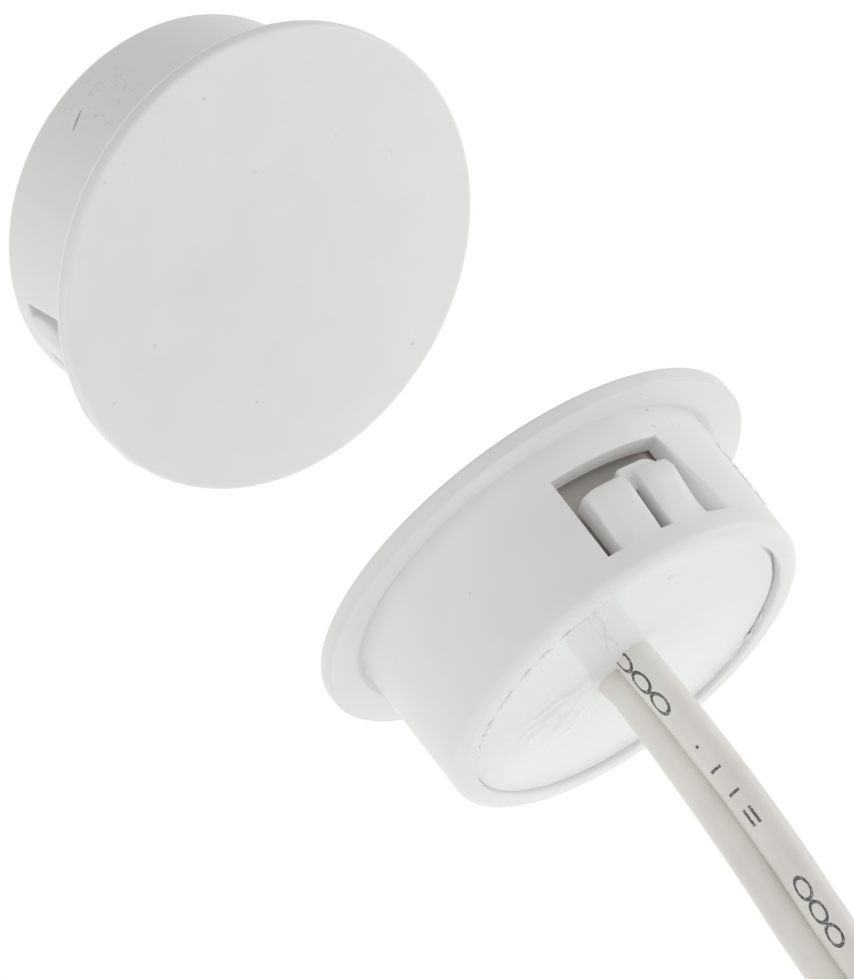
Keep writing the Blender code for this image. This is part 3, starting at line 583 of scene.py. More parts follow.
    def is_open(self, row, cell):
        """Whether a cell of the window, by its row and its column, is cut out."""
        if not 0 <= cell < len(self.window_places) - 1:
            return False
        if not 0 <= row < len(self.window_rows) - 1:
            return False
        if self.window_rows[row] < self.free_end:
            return True
        middle = abs((self.window_places[cell] + self.window_places[cell + 1]) / 2 - self.size.clip_shift)
        edge = self.size.window_width / 2 - self.size.side_slot
        return middle < self.size.middle_slot / 2 or middle > edge

    def build(self):
        """Closed mesh of the moulding without its noses."""
        count = 2 * len(self.columns)
        first_outer = next(i for i, ring in enumerate(self.rings) if ring[0] == "window")
        first_bore = next(i for i, ring in enumerate(self.rings) if ring[0] == "bore window")
        last = len(self.window_rows) - 1
        for ring in range(len(self.rings) - 1):
            pair = {self.rings[ring][0], self.rings[ring + 1][0]}
            for column in range(count):
                cell = column % len(self.columns) - self.SIDE_CELLS
                row = -1
                if pair == {"window"}:
                    row = ring - first_outer
                if pair == {"bore window"}:
                    row = last - 1 - (ring - first_bore)
                if self.is_open(row, cell):
                    continue
                self.shape.faces.new((self.vert(ring, column), self.vert(ring, column + 1),
                                      self.vert(ring + 1, column + 1), self.vert(ring + 1, column)))
        face = -self.size.flange_edge - self.size.dome_rise
        for ring, height in ((0, face), (len(self.rings) - 1, self.rings[-1][2])):
            fan(self.shape, [self.vert(ring, column) for column in range(count)], height)
        for half in (0, 1):
            start = half * len(self.columns) + self.SIDE_CELLS
            for row in range(last):
                for cell in range(len(self.window_places) - 1):
                    if self.is_open(row, cell):
                        self.add_walls(row, cell, start, first_outer, first_bore + last)
        return to_mesh(self.shape, "moulding")

    def add_walls(self, row, cell, start, outer, bore):
        """Walls between outer skin and bore around an open cell, where its neighbour isn't open."""
        sides = (((row, cell), (row + 1, cell), (row, cell - 1)),
                 ((row, cell + 1), (row + 1, cell + 1), (row, cell + 1)),
                 ((row, cell), (row, cell + 1), (row - 1, cell)),
                 ((row + 1, cell), (row + 1, cell + 1), (row + 1, cell)))
        for (row_a, cell_a), (row_b, cell_b), neighbour in sides:
            if self.is_open(*neighbour):
                continue
            near = self.vert(outer + row_a, start + cell_a), self.vert(outer + row_b, start + cell_b)
            far = self.vert(bore - row_a, start + cell_a), self.vert(bore - row_b, start + cell_b)
            self.shape.faces.new((near[0], near[1], far[1], far[0]))
            edge = self.shape.edges.get(near)
            on_frame = row_a == row_b == 0 or neighbour[1] == len(self.window_places) - 1
            if neighbour[1] == -1:
                edge[self.weights] = 1.0
            else:
                edge[self.weights] = self.size.clip_edge / self.size.flare_edge * (0.6 if on_frame else 1.0)


def nose_mesh(housing):
    """Thin rounded nose below the prongs, which reaches past their free ends."""
    radius = housing.barrel_diameter / 2
    inner = radius - housing.barrel_wall + 0.15 * MM
    tip = housing.window_start + housing.nose_setback
    root = tip + 1.3 * MM
    low, high = -2.25 * MM, -0.02 * MM
    wide, narrow = 0.8 * MM, 0.26 * MM
    outline = [(low, root)] + arc(low + wide, tip + wide, wide, wide, 180, 270, 6)
    outline += arc(high - narrow, tip + narrow, narrow, narrow, -90, 0, 4) + [(high, root)]
    shape = bmesh.new()
    base = shape.faces.new([shape.verts.new((inner, y, z)) for y, z in outline])
    grown = bmesh.ops.extrude_face_region(shape, geom=[base], use_keep_orig=True)
    moved = [part for part in grown["geom"] if isinstance(part, bmesh.types.BMVert)]
    bmesh.ops.translate(shape, verts=moved, vec=(housing.nose_thickness, 0.0, 0.0))
    return worked("nose", to_mesh(shape, "nose"), [rounded(0.12 * MM, "ANGLE")])


def housing_mesh(housing):
    """Whole moulding: skin, rounded window and clip edges, and the two noses."""
    moulding = Moulding(housing)
    noses = []
    for half in (0, 1):
        nose = nose_mesh(housing)
        nose.transform(Matrix.Rotation(math.pi * half, 4, "Z"))
        noses.append(joined(nose))
    return worked("moulding", moulding.build(), [rounded(housing.flare_edge, "WEIGHT")] + noses)


def group_node(tree, name, **values):
    """Node group placed in a tree, with its own input values."""
    node = tree.nodes.new("ShaderNodeGroup")
    node.node_tree = bpy.data.node_groups[name]
    for key, value in values.items():
        node.inputs[key.replace("_", " ").capitalize()].default_value = value
    return node


def new_group(name, inputs, outputs):
    """Empty shader node group with named sockets."""
    group = bpy.data.node_groups.new(name, "ShaderNodeTree")
    for socket, kind, default in inputs:
        made = group.interface.new_socket(socket, in_out="INPUT", socket_type="NodeSocket" + kind)
        if default is not None:
            made.default_value = default
    for socket, kind in outputs:
        group.interface.new_socket(socket, in_out="OUTPUT", socket_type="NodeSocket" + kind)
    return group, group.nodes.new("NodeGroupInput"), group.nodes.new("NodeGroupOutput")


def feed(tree, value, socket):
    """Link a socket to an input, or set the input to a plain value."""
    if isinstance(value, bpy.types.NodeSocket):
        tree.links.new(value, socket)
    else:
        socket.default_value = value


def math_node(tree, operation, first, second=None):
    """Math node whose inputs are sockets or numbers; returns its output."""
    node = tree.nodes.new("ShaderNodeMath")
    node.operation = operation
    for socket, value in zip(node.inputs, (first, second)):
        if value is not None:
            feed(tree, value, socket)
    return node.outputs[0]


def vector_node(tree, operation, first, second):
    """Vector math node whose inputs are sockets or plain vectors."""
    node = tree.nodes.new("ShaderNodeVectorMath")
    node.operation = operation
    feed(tree, first, node.inputs[0])
    feed(tree, second, node.inputs[1])
    return node


def noise_node(tree, vector, scale, detail=2.0, rough=0.5):
    """Noise over the object's own coordinates; returns its value."""
    node = tree.nodes.new("ShaderNodeTexNoise")
    node.inputs["Detail"].default_value = detail
    node.inputs["Roughness"].default_value = rough
    tree.links.new(vector, node.inputs["Vector"])
    feed(tree, scale, node.inputs["Scale"])
    return node.outputs["Fac"]


def range_node(tree, value, low, high, to_low=0.0, to_high=1.0):
    """Value mapped smoothly from one range to another."""
    node = tree.nodes.new("ShaderNodeMapRange")
    node.interpolation_type = "SMOOTHSTEP"
    for key, number in (("From Min", low), ("From Max", high), ("To Min", to_low), ("To Max", to_high)):
        node.inputs[key].default_value = number
    tree.links.new(value, node.inputs["Value"])
    return node.outputs["Result"]


def mix_colour(tree, factor, first, second):
    """Colour mixed by a factor from sockets or plain colours; returns the result."""
    node = tree.nodes.new("ShaderNodeMix")
    node.data_type = "RGBA"
    tree.links.new(factor, node.inputs["Factor"])
    for key, value in (("A", first), ("B", second)):
        linked = isinstance(value, bpy.types.NodeSocket)
        feed(tree, value if linked else (*value, 1.0), node.inputs[key])
    return node.outputs["Result"]


def make_grain_group():
    """Moulded grain: fine pits, slow waves and a tone that follows them."""
    tree, start, end = new_group("moulded_grain", [("Vector", "Vector", None), ("Size", "Float", 1.0)],
                                 [("Height", "Float"), ("Tone", "Float")])
    scale = math_node(tree, "DIVIDE", 1.0, start.outputs["Size"])
    fine = noise_node(tree, start.outputs["Vector"], scale, 3.0, 0.6)
    slow = noise_node(tree, start.outputs["Vector"], math_node(tree, "DIVIDE", scale, 14.0), 2.0)
    height = math_node(tree, "ADD", fine, math_node(tree, "MULTIPLY", slow, 2.5))
    tree.links.new(height, end.inputs["Height"])
    tree.links.new(range_node(tree, slow, 0.3, 0.7), end.inputs["Tone"])


def make_specks_group():
    """Handling marks: sparse dark specks and faint smudges."""
    tree, start, end = new_group("handling_specks", [("Vector", "Vector", None), ("Size", "Float", 1.0)],
                                 [("Specks", "Float"), ("Smudge", "Float")])
    scale = math_node(tree, "DIVIDE", 1.0, start.outputs["Size"])
    cells = tree.nodes.new("ShaderNodeTexVoronoi")
    tree.links.new(start.outputs["Vector"], cells.inputs["Vector"])
    tree.links.new(scale, cells.inputs["Scale"])
    wide = math_node(tree, "DIVIDE", scale, 1.7)
    rare = range_node(tree, noise_node(tree, start.outputs["Vector"], wide, 0.0), 0.62, 0.66)
    dot = range_node(tree, cells.outputs["Distance"], 0.05, 0.11, 1.0, 0.0)
    tree.links.new(math_node(tree, "MULTIPLY", dot, rare), end.inputs["Specks"])
    broad = noise_node(tree, start.outputs["Vector"], math_node(tree, "DIVIDE", scale, 3.0), 4.0, 0.65)
    tree.links.new(range_node(tree, broad, 0.52, 0.72), end.inputs["Smudge"])


def make_scuffs_group():
    """Scuffs: short streaks within a round patch."""
    tree, start, end = new_group("scuff_patch", [("Vector", "Vector", None), ("Centre", "Vector", None),
                                                 ("Reach", "Float", 1.0)], [("Mask", "Float")])
    away = vector_node(tree, "DISTANCE", start.outputs["Vector"], start.outputs["Centre"])
    stretch = vector_node(tree, "MULTIPLY", start.outputs["Vector"], (1.0, 0.7, 0.5))
    part = math_node(tree, "DIVIDE", away.outputs["Value"], start.outputs["Reach"])
    near = range_node(tree, part, 0.45, 1.0, 1.0, 0.0)
    rough = noise_node(tree, stretch.outputs["Vector"], 1 / (0.3 * MM), 3.0, 0.7)
    streaks = range_node(tree, rough, 0.55, 0.72)
    tree.links.new(math_node(tree, "MULTIPLY", near, streaks), end.inputs["Mask"])


def make_marks_group():
    """Length marks along the lead: rings, bars and dots in ink, laid out by the lead's own coordinates."""
    tree, start, end = new_group("length_marks", [("Vector", "Vector", None), ("Pitch", "Float", 1.0)],
                                 [("Mask", "Float")])
    split = tree.nodes.new("ShaderNodeSeparateXYZ")
    tree.links.new(start.outputs["Vector"], split.inputs["Vector"])
    cell = math_node(tree, "DIVIDE", split.outputs["X"], start.outputs["Pitch"])
    number = math_node(tree, "FLOOR", cell)
    along = math_node(tree, "MULTIPLY", math_node(tree, "SUBTRACT", math_node(tree, "FRACT", cell), 0.5),
                      start.outputs["Pitch"])
    across = split.outputs["Y"]
    line = 0.075 * MM

    def near(value, centre, reach):
        return math_node(tree, "LESS_THAN", math_node(tree, "ABSOLUTE", math_node(
            tree, "SUBTRACT", value, centre)), reach)

    def oval(half_length, half_width):
        squares = [math_node(tree, "POWER", math_node(tree, "DIVIDE", value, half), 2.0)
                   for value, half in ((along, half_length), (across, half_width))]
        return math_node(tree, "SQRT", math_node(tree, "ADD", *squares))

    ring = near(oval(0.57 * MM, 0.32 * MM), 1.0, line / (0.4 * MM))
    bar = math_node(tree, "MULTIPLY", near(along, 0.0, line), near(across, 0.0, 0.3 * MM))
    dashes = math_node(tree, "MULTIPLY", near(along, 0.0, 0.46 * MM), near(
        math_node(tree, "ABSOLUTE", across), 0.17 * MM, line))
    dot = math_node(tree, "LESS_THAN", oval(0.09 * MM, 0.09 * MM), 1.0)
    parts = []
    place_in = math_node(tree, "FLOORED_MODULO", number, 10.0)
    for mark, wanted in ((ring, (0, 1, 2)), (dot, (4,)), (bar, (5, 6)), (dashes, (7,))):
        for want in wanted:
            parts.append(math_node(tree, "MULTIPLY", mark, near(place_in, float(want), 0.5)))
    total = parts[0]
    for part in parts[1:]:
        total = math_node(tree, "MAXIMUM", total, part)
    tree.links.new(total, end.inputs["Mask"])


def object_coordinates(tree):
    """The object's own coordinates."""
    return tree.nodes.new("ShaderNodeTexCoord").outputs["Object"]


def new_material(name, roughness, metallic=0.0):
    """Material with a plain Principled shader; returns it with its tree and shader."""
    material = bpy.data.materials.new(name)
    material.use_nodes = True
    tree = material.node_tree
    shader = tree.nodes["Principled BSDF"]
    shader.inputs["Roughness"].default_value = roughness
    shader.inputs["Metallic"].default_value = metallic
    return material, tree, shader


def darker(value, part):
    """Colour times a part of one."""
    return tuple(channel * part for channel in value)


def add_bump(tree, shader, height, depth):
    """Feed a height into the shader's normal."""
    bump = tree.nodes.new("ShaderNodeBump")
    bump.inputs["Distance"].default_value = depth
    tree.links.new(height, bump.inputs["Height"])
    tree.links.new(bump.outputs["Normal"], shader.inputs["Normal"])


def coloured(material):
    """A material's tree, its shader and the socket that its colour comes from."""
    tree = material.node_tree
    shader = tree.nodes["Principled BSDF"]
    return tree, shader, shader.inputs["Base Color"].links[0].from_socket


def textured(name, base, roughness, grain_size, grain_depth, metallic=0.0, tone=0.98, specks=0.0,
             speck_size=2.0):
    """Material with moulded grain, a little tone and, where asked, handling marks."""
    material, tree, shader = new_material(name, roughness, metallic)
    vector = object_coordinates(tree)
    grain = group_node(tree, "moulded_grain", size=grain_size)
    tree.links.new(vector, grain.inputs["Vector"])
    shade = mix_colour(tree, grain.outputs["Tone"], darker(base, tone), tuple(base))
    if specks:
        marks = group_node(tree, "handling_specks", size=speck_size * MM)
        tree.links.new(vector, marks.inputs["Vector"])
        smudge = math_node(tree, "MULTIPLY", marks.outputs["Smudge"], specks / 4)
        shade = mix_colour(tree, smudge, shade, darker(base, SMUDGE_TONE))
        shade = mix_colour(tree, math_node(tree, "MULTIPLY", marks.outputs["Specks"], specks), shade,
                           darker(base, SPECK_TONE))
    tree.links.new(shade, shader.inputs["Base Color"])
    tree.links.new(range_node(tree, grain.outputs["Tone"], 0.0, 1.0, roughness * 0.92, roughness * 1.08),
                   shader.inputs["Roughness"])
    add_bump(tree, shader, grain.outputs["Height"], grain_depth)
    return material


class CONTACT_OT_housings(bpy.types.Operator):
    """Model the two white mouldings with their flanges, clip windows and prongs"""

    bl_idname = "contact.housings"
    bl_label = "Housings"

    def execute(self, context):
        scene = context.scene
        housing = scene.contact_housing
        plastic = textured("white_plastic", housing.plastic, housing.roughness, housing.grain_size,
                           housing.grain_depth, specks=0.35, speck_size=1.3)
        self.add_painted_rim_light_and_scuffs(plastic, housing)
        for side, name in ((1, "switch"), (-1, "magnet")):
            place(f"{name}_moulding", housing_mesh(housing), plastic, [f"{name}_housing"],
                  half_matrix(scene, side))
        grey = textured("scraped_plastic", darker(housing.plastic, 0.42), 0.5, housing.grain_size,
                        housing.grain_depth)
        for name, mesh, material, side in (("switch_flash", self.flash(housing), plastic, 1),
                                           ("face_scratch", self.scratch(housing), plastic, -1),
                                           ("barrel_scrape", self.scrape(housing), grey, -1)):
            place(name, mesh, material, matrix=half_matrix(scene, side))
        return {"FINISHED"}

    def add_painted_rim_light_and_scuffs(self, plastic, housing):
        """Mix painted shade on the flanges' rims, a painted highlight on the magnet half's rim, and the
        scuffs into the colour.
        """
        tree, shader, shade = coloured(plastic)
        edge = tree.nodes.new("ShaderNodeAttribute")
        edge.attribute_name = "flange_rim"
        # Painted shade on the flanges' rims
        shade = mix_colour(tree, math_node(tree, "MULTIPLY", edge.outputs["Fac"], PAINTED_RIM_SHADE_SHARE), shade,
                           darker(housing.plastic, PAINTED_RIM_SHADE_TONE))
        # Painted highlight on the magnet half's rim, where X is below zero
        split = tree.nodes.new("ShaderNodeSeparateXYZ")
        tree.links.new(object_coordinates(tree), split.inputs["Vector"])
        line = math_node(tree, "MULTIPLY", range_node(tree, edge.outputs["Fac"], 0.7, 0.95),
                         range_node(tree, split.outputs["X"], 0.0, MM, 1.0, 0.0))
        shade = mix_colour(tree, line, shade, PAINTED_HIGHLIGHT_LINE)
        scuffs = group_node(tree, "scuff_patch", centre=SCUFF_SPOT, reach=SCUFF_REACH)
        tree.links.new(object_coordinates(tree), scuffs.inputs["Vector"])
        mask = math_node(tree, "MULTIPLY", scuffs.outputs["Mask"], SCUFF_SHARE)
        shade = mix_colour(tree, mask, shade, darker(housing.plastic, SCUFF_TONE))
        tree.links.new(shade, shader.inputs["Base Color"])

    def flash(self, housing):
        """Crumpled thread of flash on the mould's parting line."""
        radius = housing.barrel_diameter / 2
        points = []
        for index in range(60):
            part = index / 59
            turned = FLASH_ANGLE - 0.12 * part + 0.006 * noise.noise(Vector((part * 22, 0.0, 5.0)))
            reach = radius + (0.02 + 0.07 * noise.noise(Vector((part * 14, 0.0, 0.0)))) * MM
            along = (1.6 + 3.4 * part) * MM
            points.append(on_circle(reach, turned, along))
        return thread("flash", points, 0.035 * MM, 6, way=(1.0, 1.0, 0.0))

    def scrape(self, housing):
        """Short dark scrape on the magnet half's barrel."""
        points = []
        for index in range(9):
            part = index / 8
            degrees, along = [start + (end - start) * part for start, end in zip(*SCRAPE_ENDS)]
            angle = math.radians(degrees)
            reach = housing.barrel_diameter / 2 - 0.012 * MM + 0.02 * MM * math.sin(math.pi * part)
            points.append(on_circle(reach, angle, along * MM))
        return thread("scrape", points, 0.03 * MM)

    def scratch(self, housing):
        """Small raised crescent on the magnet half's face."""
        flange = housing.barrel_diameter / 2 + housing.flange_overhang - housing.flange_round
        points = []
        for index in range(17):
            angle = SCRATCH_TURN + math.radians(-75 + 150 * index / 16)
            spot = Vector(SCRATCH_SPOT) + Vector((math.cos(angle), math.sin(angle))) * SCRATCH_RADIUS
            dome = housing.dome_rise * (1 - (spot.length / flange) ** 2)
            points.append(Vector((*spot, -housing.flange_edge - dome + 0.008 * MM)))
        return thread("scratch", points, 0.03 * MM)


def waves(x, y, layer, size):
    """Noise between about -1 and 1 with waves of a size in millimetres, from one of its layers."""
    return noise.noise(Vector((x, y, layer)) / (size * MM))


def resin_height(resin, spot, bore, lead):
    """Height of the resin's surface above its level at a spot of the upright half."""
    x, y = spot
    wall = bore - math.hypot(x, y)
    near_skin = 0.0
    if lead is not None:
        near_skin = math.exp(-((Vector((x, y)) - lead["torn_at"]).length / (4.0 * MM)) ** 2)
    torn = 1.0 + 0.12 * waves(x, y, 2.0 * MM, 2.4)
    torn += near_skin * (1.5 + 3.2 * waves(x, y, 9.0 * MM, 0.5))
    height = resin.meniscus * torn * math.exp(-wall / (0.3 * MM))
    height += resin.ripple * waves(x, y, 0.0, 1.6)
    height += resin.ripple * 0.5 * waves(x, y, 3.0, 0.6)
    if lead is None:
        return height
    turned = Matrix.Rotation(lead["turn"], 2) @ Vector((x, y))
    gap = lead_distance(lead["size"], turned)
    height += 0.16 * MM * math.exp(-max(gap, 0.0) / (0.22 * MM))
    away = (Vector((x, y)) - lead["skin_at"]).length
    patch = max(0.0, 1.0 - (away / (3.4 * MM)) ** 2)
    bend = 0.5 * MM * waves(x, y, 5.0 * MM, 1.3)
    along, side = 0.7 * (y - x) + bend, 0.7 * (x + y) + bend
    folds = 1.0 - min(1.0, 8.0 * abs(waves(along * 0.3, side, 4.0 * MM, 1.3)))
    height += patch * resin.skin * (folds + 0.35 * waves(x, y, 7.0 * MM, 0.4))
    angle = math.atan2(y, x)
    for middle, reach, depth in lead["cracks"]:
        off = abs((angle - middle + math.pi) % (2 * math.pi) - math.pi)
        if off < reach:
            height -= depth * (1 - (off / reach) ** 2) * math.exp(-((wall - 0.05 * MM) / (0.1 * MM)) ** 2)
    return height


def lead_distance(lead, spot):
    """Distance from a spot, across the lead's flat section, to its outline."""
    half = lead.lobe_pitch / 2
    nearest = min(math.hypot(spot[0] - half, spot[1]), math.hypot(spot[0] + half, spot[1]))
    return nearest - lead.lobe_diameter / 2


def resin_mesh(name, resin, housing, lead=None):
    """Closed body of resin with a cured upper surface."""
    bore = housing.barrel_diameter / 2 - housing.barrel_wall
    level = housing.barrel_length - resin.recess
    radii = [bore * (index / 40) for index in range(1, 37)]
    near_wall = (0.72, 0.6, 0.48, 0.38, 0.3, 0.24, 0.19, 0.15, 0.11, 0.08, 0.05, 0.02)
    radii += [bore - wall * MM for wall in near_wall]
    radii = sorted(set(r for r in radii if r < bore - 0.01 * MM))
    count = 192
    shape = bmesh.new()
    rows = []
    for radius in radii:
        row = []
        for index in range(count):
            angle = 2 * math.pi * index / count
            spot = (radius * math.cos(angle), radius * math.sin(angle))
            row.append(shape.verts.new((*spot, level + resin_height(resin, spot, bore, lead))))
        rows.append(row)
    flat = housing.barrel_diameter / 2 - CUP_FLAT
    inner = bore - CUP_WALL
    step = housing.barrel_length - housing.rear_band + CUP_RIM
    for radius, side, z in ((radii[-1], bore, step), (inner, flat, step), (inner, flat, CUP_FLOOR)):
        row = []
        for index in range(count):
            angle = 2 * math.pi * index / count
            x = max(-side, min(side, radius * math.cos(angle)))
            row.append(shape.verts.new((x, radius * math.sin(angle), z)))
        rows.append(row)
    for lower, upper in zip(rows, rows[1:]):
        bridge(shape, lower, upper)
    fan(shape, rows[0], level + resin_height(resin, (0.0, 0.0), bore, lead))
    fan(shape, rows[-1], CUP_FLOOR)
    return to_mesh(shape, name)


def resin_material(resin):
    """Glossy white potting resin."""
    material, tree, shader = new_material("white_resin", resin.roughness)
    vector = object_coordinates(tree)
    grain = group_node(tree, "moulded_grain", size=0.5 * MM)
    tree.links.new(vector, grain.inputs["Vector"])
    marks = group_node(tree, "handling_specks", size=2.6 * MM)
    tree.links.new(vector, marks.inputs["Vector"])
    shade = mix_colour(tree, grain.outputs["Tone"], darker(resin.resin, 0.975), tuple(resin.resin))
    shade = mix_colour(tree, math_node(tree, "MULTIPLY", marks.outputs["Specks"], 0.5), shade,
                       darker(resin.resin, 0.6))
    tree.links.new(shade, shader.inputs["Base Color"])
    rough = range_node(tree, marks.outputs["Smudge"], 0.0, 1.0, resin.roughness, resin.roughness * 2.4)
    tree.links.new(rough, shader.inputs["Roughness"])
    add_bump(tree, shader, grain.outputs["Height"], 0.004 * MM)
    return material


class CONTACT_OT_resin(bpy.types.Operator):
    """Model the cured resin that closes both barrels"""

    bl_idname = "contact.resin"
    bl_label = "Resin"

    def execute(self, context):
        scene = context.scene
        housing, resin, lead = scene.contact_housing, scene.contact_resin, scene.contact_lead
        material = resin_material(resin)
        matrix = half_matrix(scene, 1)
        wide = matrix.to_3x3().inverted() @ Vector((0.0, math.cos(lead.lay), math.sin(lead.lay)))
        around = {
            "size": lead,
            "turn": -math.atan2(wide.y, wide.x),
            "skin_at": Vector((-2.0, 3.2)) * MM,
            "torn_at": Vector((6.0, 5.4)) * MM,
            "cracks": [(math.radians(-78), math.radians(34), resin.crack),
                       (math.radians(40), math.radians(16), resin.crack * 0.4)],
        }
        place("switch_resin", resin_mesh("switch_resin", resin, housing, around), material,
              ["switch_fill"], matrix, 60.0)
        place("magnet_resin", resin_mesh("magnet_resin", resin, housing), material, ["magnet_fill"],
              half_matrix(scene, -1), 60.0)
        lips = (("torn_lip_a", 20, 114, resin.recess), ("torn_lip_b", 222, 268, 0.12 * MM))
        for name, first, last, rise in lips:
            mesh = self.torn_lip(resin, housing, first, last, rise)
            place(name, mesh, material, matrix=matrix, sharp=60.0)
        return {"FINISHED"}

    def torn_lip(self, resin, housing, first, last, rise):
        """Torn edge of the resin's skin at the wall, between two angles and raised above its level."""
        bore = housing.barrel_diameter / 2 - housing.barrel_wall
        level = housing.barrel_length - resin.recess
        points = []
        count = 2 * (last - first)
        for index in range(count + 1):
            angle = math.radians(first + (last - first) * index / count)
            reach = bore - 0.05 * MM + 0.09 * MM * noise.noise(Vector((angle * 16, 1.0, 0.0)))
            up = level + rise + 0.12 * MM * noise.noise(Vector((angle * 22, 4.0, 0.0)))
            points.append(on_circle(reach, angle, up))
        whole = (last - first) * math.pi / 180 * bore

        def thick(run, x, y):
            taper = min(1.0, 4 * run / whole, 4 * max(whole - run, 0.0) / whole)
            torn = max(0.15, 0.55 + 1.5 * noise.noise(Vector((run / (0.7 * MM), 7.0, 0.0))))
            part = torn * max(taper, 0.1)
            return x * part, y * part

        return thread("lip", points, 0.075 * MM, flare=thick)


def lead_path(lead, ends):
    """Middle of the lead from the resin over its free stretch and round its coil.

    The coil is a spiral that narrows by a core's width and a small gap each turn. At the tie its two
    turns lie evenly on both sides of the middle radius.
    """
    knots = metres(LEAD_ROUTE + JOINING_ROUTE)
    centre = Vector((COIL_CENTRE[0] * MM, COIL_CENTRE[1] * MM, lead.coil_level))
    pitch = lead.lobe_diameter + TURN_GAP
    tie_run = (COIL_START - math.degrees(ends.tie_angle)) % 360
    steps = 120
    for index in range(steps + 1):
        turned = COIL_RUN * index / steps
        angle = math.radians(COIL_START - turned)
        radius = lead.coil_radius + pitch * (0.5 + (tie_run - turned) / 360)
        knots.append(centre + on_circle(radius, angle))
    return smooth_points(knots, 0.6 * MM)


def groove_angle(lead):
    """Angle on a core, from the way to the other core, at which the web begins."""
    return math.acos((lead.lobe_pitch / 2 - 0.16 * MM) / (lead.lobe_diameter / 2))


def mark_line(lead):
    """Place of the marks on the section's outline, a little short of the groove."""
    return (math.pi - groove_angle(lead) + math.radians(78)) * lead.lobe_diameter / 2


def lead_section(lead):
    """Outline of the flat lead: two round cores and the web between them, as (across, up) points."""
    half = lead.lobe_pitch / 2
    radius = lead.lobe_diameter / 2
    open_angle = groove_angle(lead)
    points = []
    for side in (1, -1):
        for index in range(15):
            angle = (-math.pi + open_angle) + 2 * (math.pi - open_angle) * index / 14
            points.append((side * (half + radius * math.cos(angle)), side * radius * math.sin(angle)))
        points.append((0.0, side * lead.web / 2))
    return points


def swept(name, points, section, wide_at, uv_name=None, flare=None):
    """Closed tube of a section along points; wide_at gives the section's wide way at a place."""
    shape = bmesh.new()
    uv = shape.loops.layers.uv.new(uv_name) if uv_name else None
    rows = []
    places = []
    run = 0.0
    for index, point in enumerate(points):
        before = points[max(index - 1, 0)]
        after = points[min(index + 1, len(points) - 1)]
        if index:
            run += (point - before).length
        tangent = (after - before).normalized()
        wide = wide_at(index, run)
        wide = (wide - tangent * wide.dot(tangent)).normalized()
        up = tangent.cross(wide)
        outline = section if flare is None else [flare(run, x, y) for x, y in section]
        rows.append([shape.verts.new(point + wide * x + up * y) for x, y in outline])
        places.append(run)
    around = [0.0]
    for (x0, y0), (x1, y1) in zip(section, section[1:] + section[:1]):
        around.append(around[-1] + math.hypot(x1 - x0, y1 - y0))
    for row in range(len(rows) - 1):
        for index, face in enumerate(bridge(shape, rows[row], rows[row + 1])):
            if uv:
                values = ((places[row], around[index]), (places[row], around[index + 1]),
                          (places[row + 1], around[index + 1]), (places[row + 1], around[index]))
                for loop, value in zip(face.loops, values):
                    loop[uv].uv = value
    for row in (rows[0], rows[-1]):
        shape.faces.new(row)
    return to_mesh(shape, name)


def thread(name, points, radius, sides=8, flare=None, way=(0.0, 0.0, 1.0)):
    """Round tube along points; a corner of its section is turned to one way all along."""
    angles = [2 * math.pi * index / sides for index in range(sides)]
    section = [(radius * math.cos(angle), radius * math.sin(angle)) for angle in angles]
    return swept(name, points, section, lambda index, run: Vector(way), flare=flare)


def lead_material(lead, name, marked):
    """Satin vinyl, with ink marks along one core where asked."""
    material = textured(name, lead.vinyl, lead.roughness, 0.3 * MM, 0.006 * MM, tone=0.93, specks=0.5,
                        speck_size=1.6)
    if not marked:
        return material
    tree, shader, shade = coloured(material)
    coordinates = tree.nodes.new("ShaderNodeUVMap")
    coordinates.uv_map = "along_lead"
    begin = (MARK_START, mark_line(lead), 0.0)
    shift = vector_node(tree, "SUBTRACT", coordinates.outputs["UV"], begin)
    marks = group_node(tree, "length_marks", pitch=MARK_PITCH)
    tree.links.new(shift.outputs["Vector"], marks.inputs["Vector"])
    worn = noise_node(tree, coordinates.outputs["UV"], 1 / (0.13 * MM), 1.0)
    wear = range_node(tree, worn, 0.36, 0.5, 0.55, 0.95)
    ink = math_node(tree, "MULTIPLY", marks.outputs["Mask"], wear)
    tree.links.new(mix_colour(tree, ink, shade, lead.ink), shader.inputs["Base Color"])
    return material


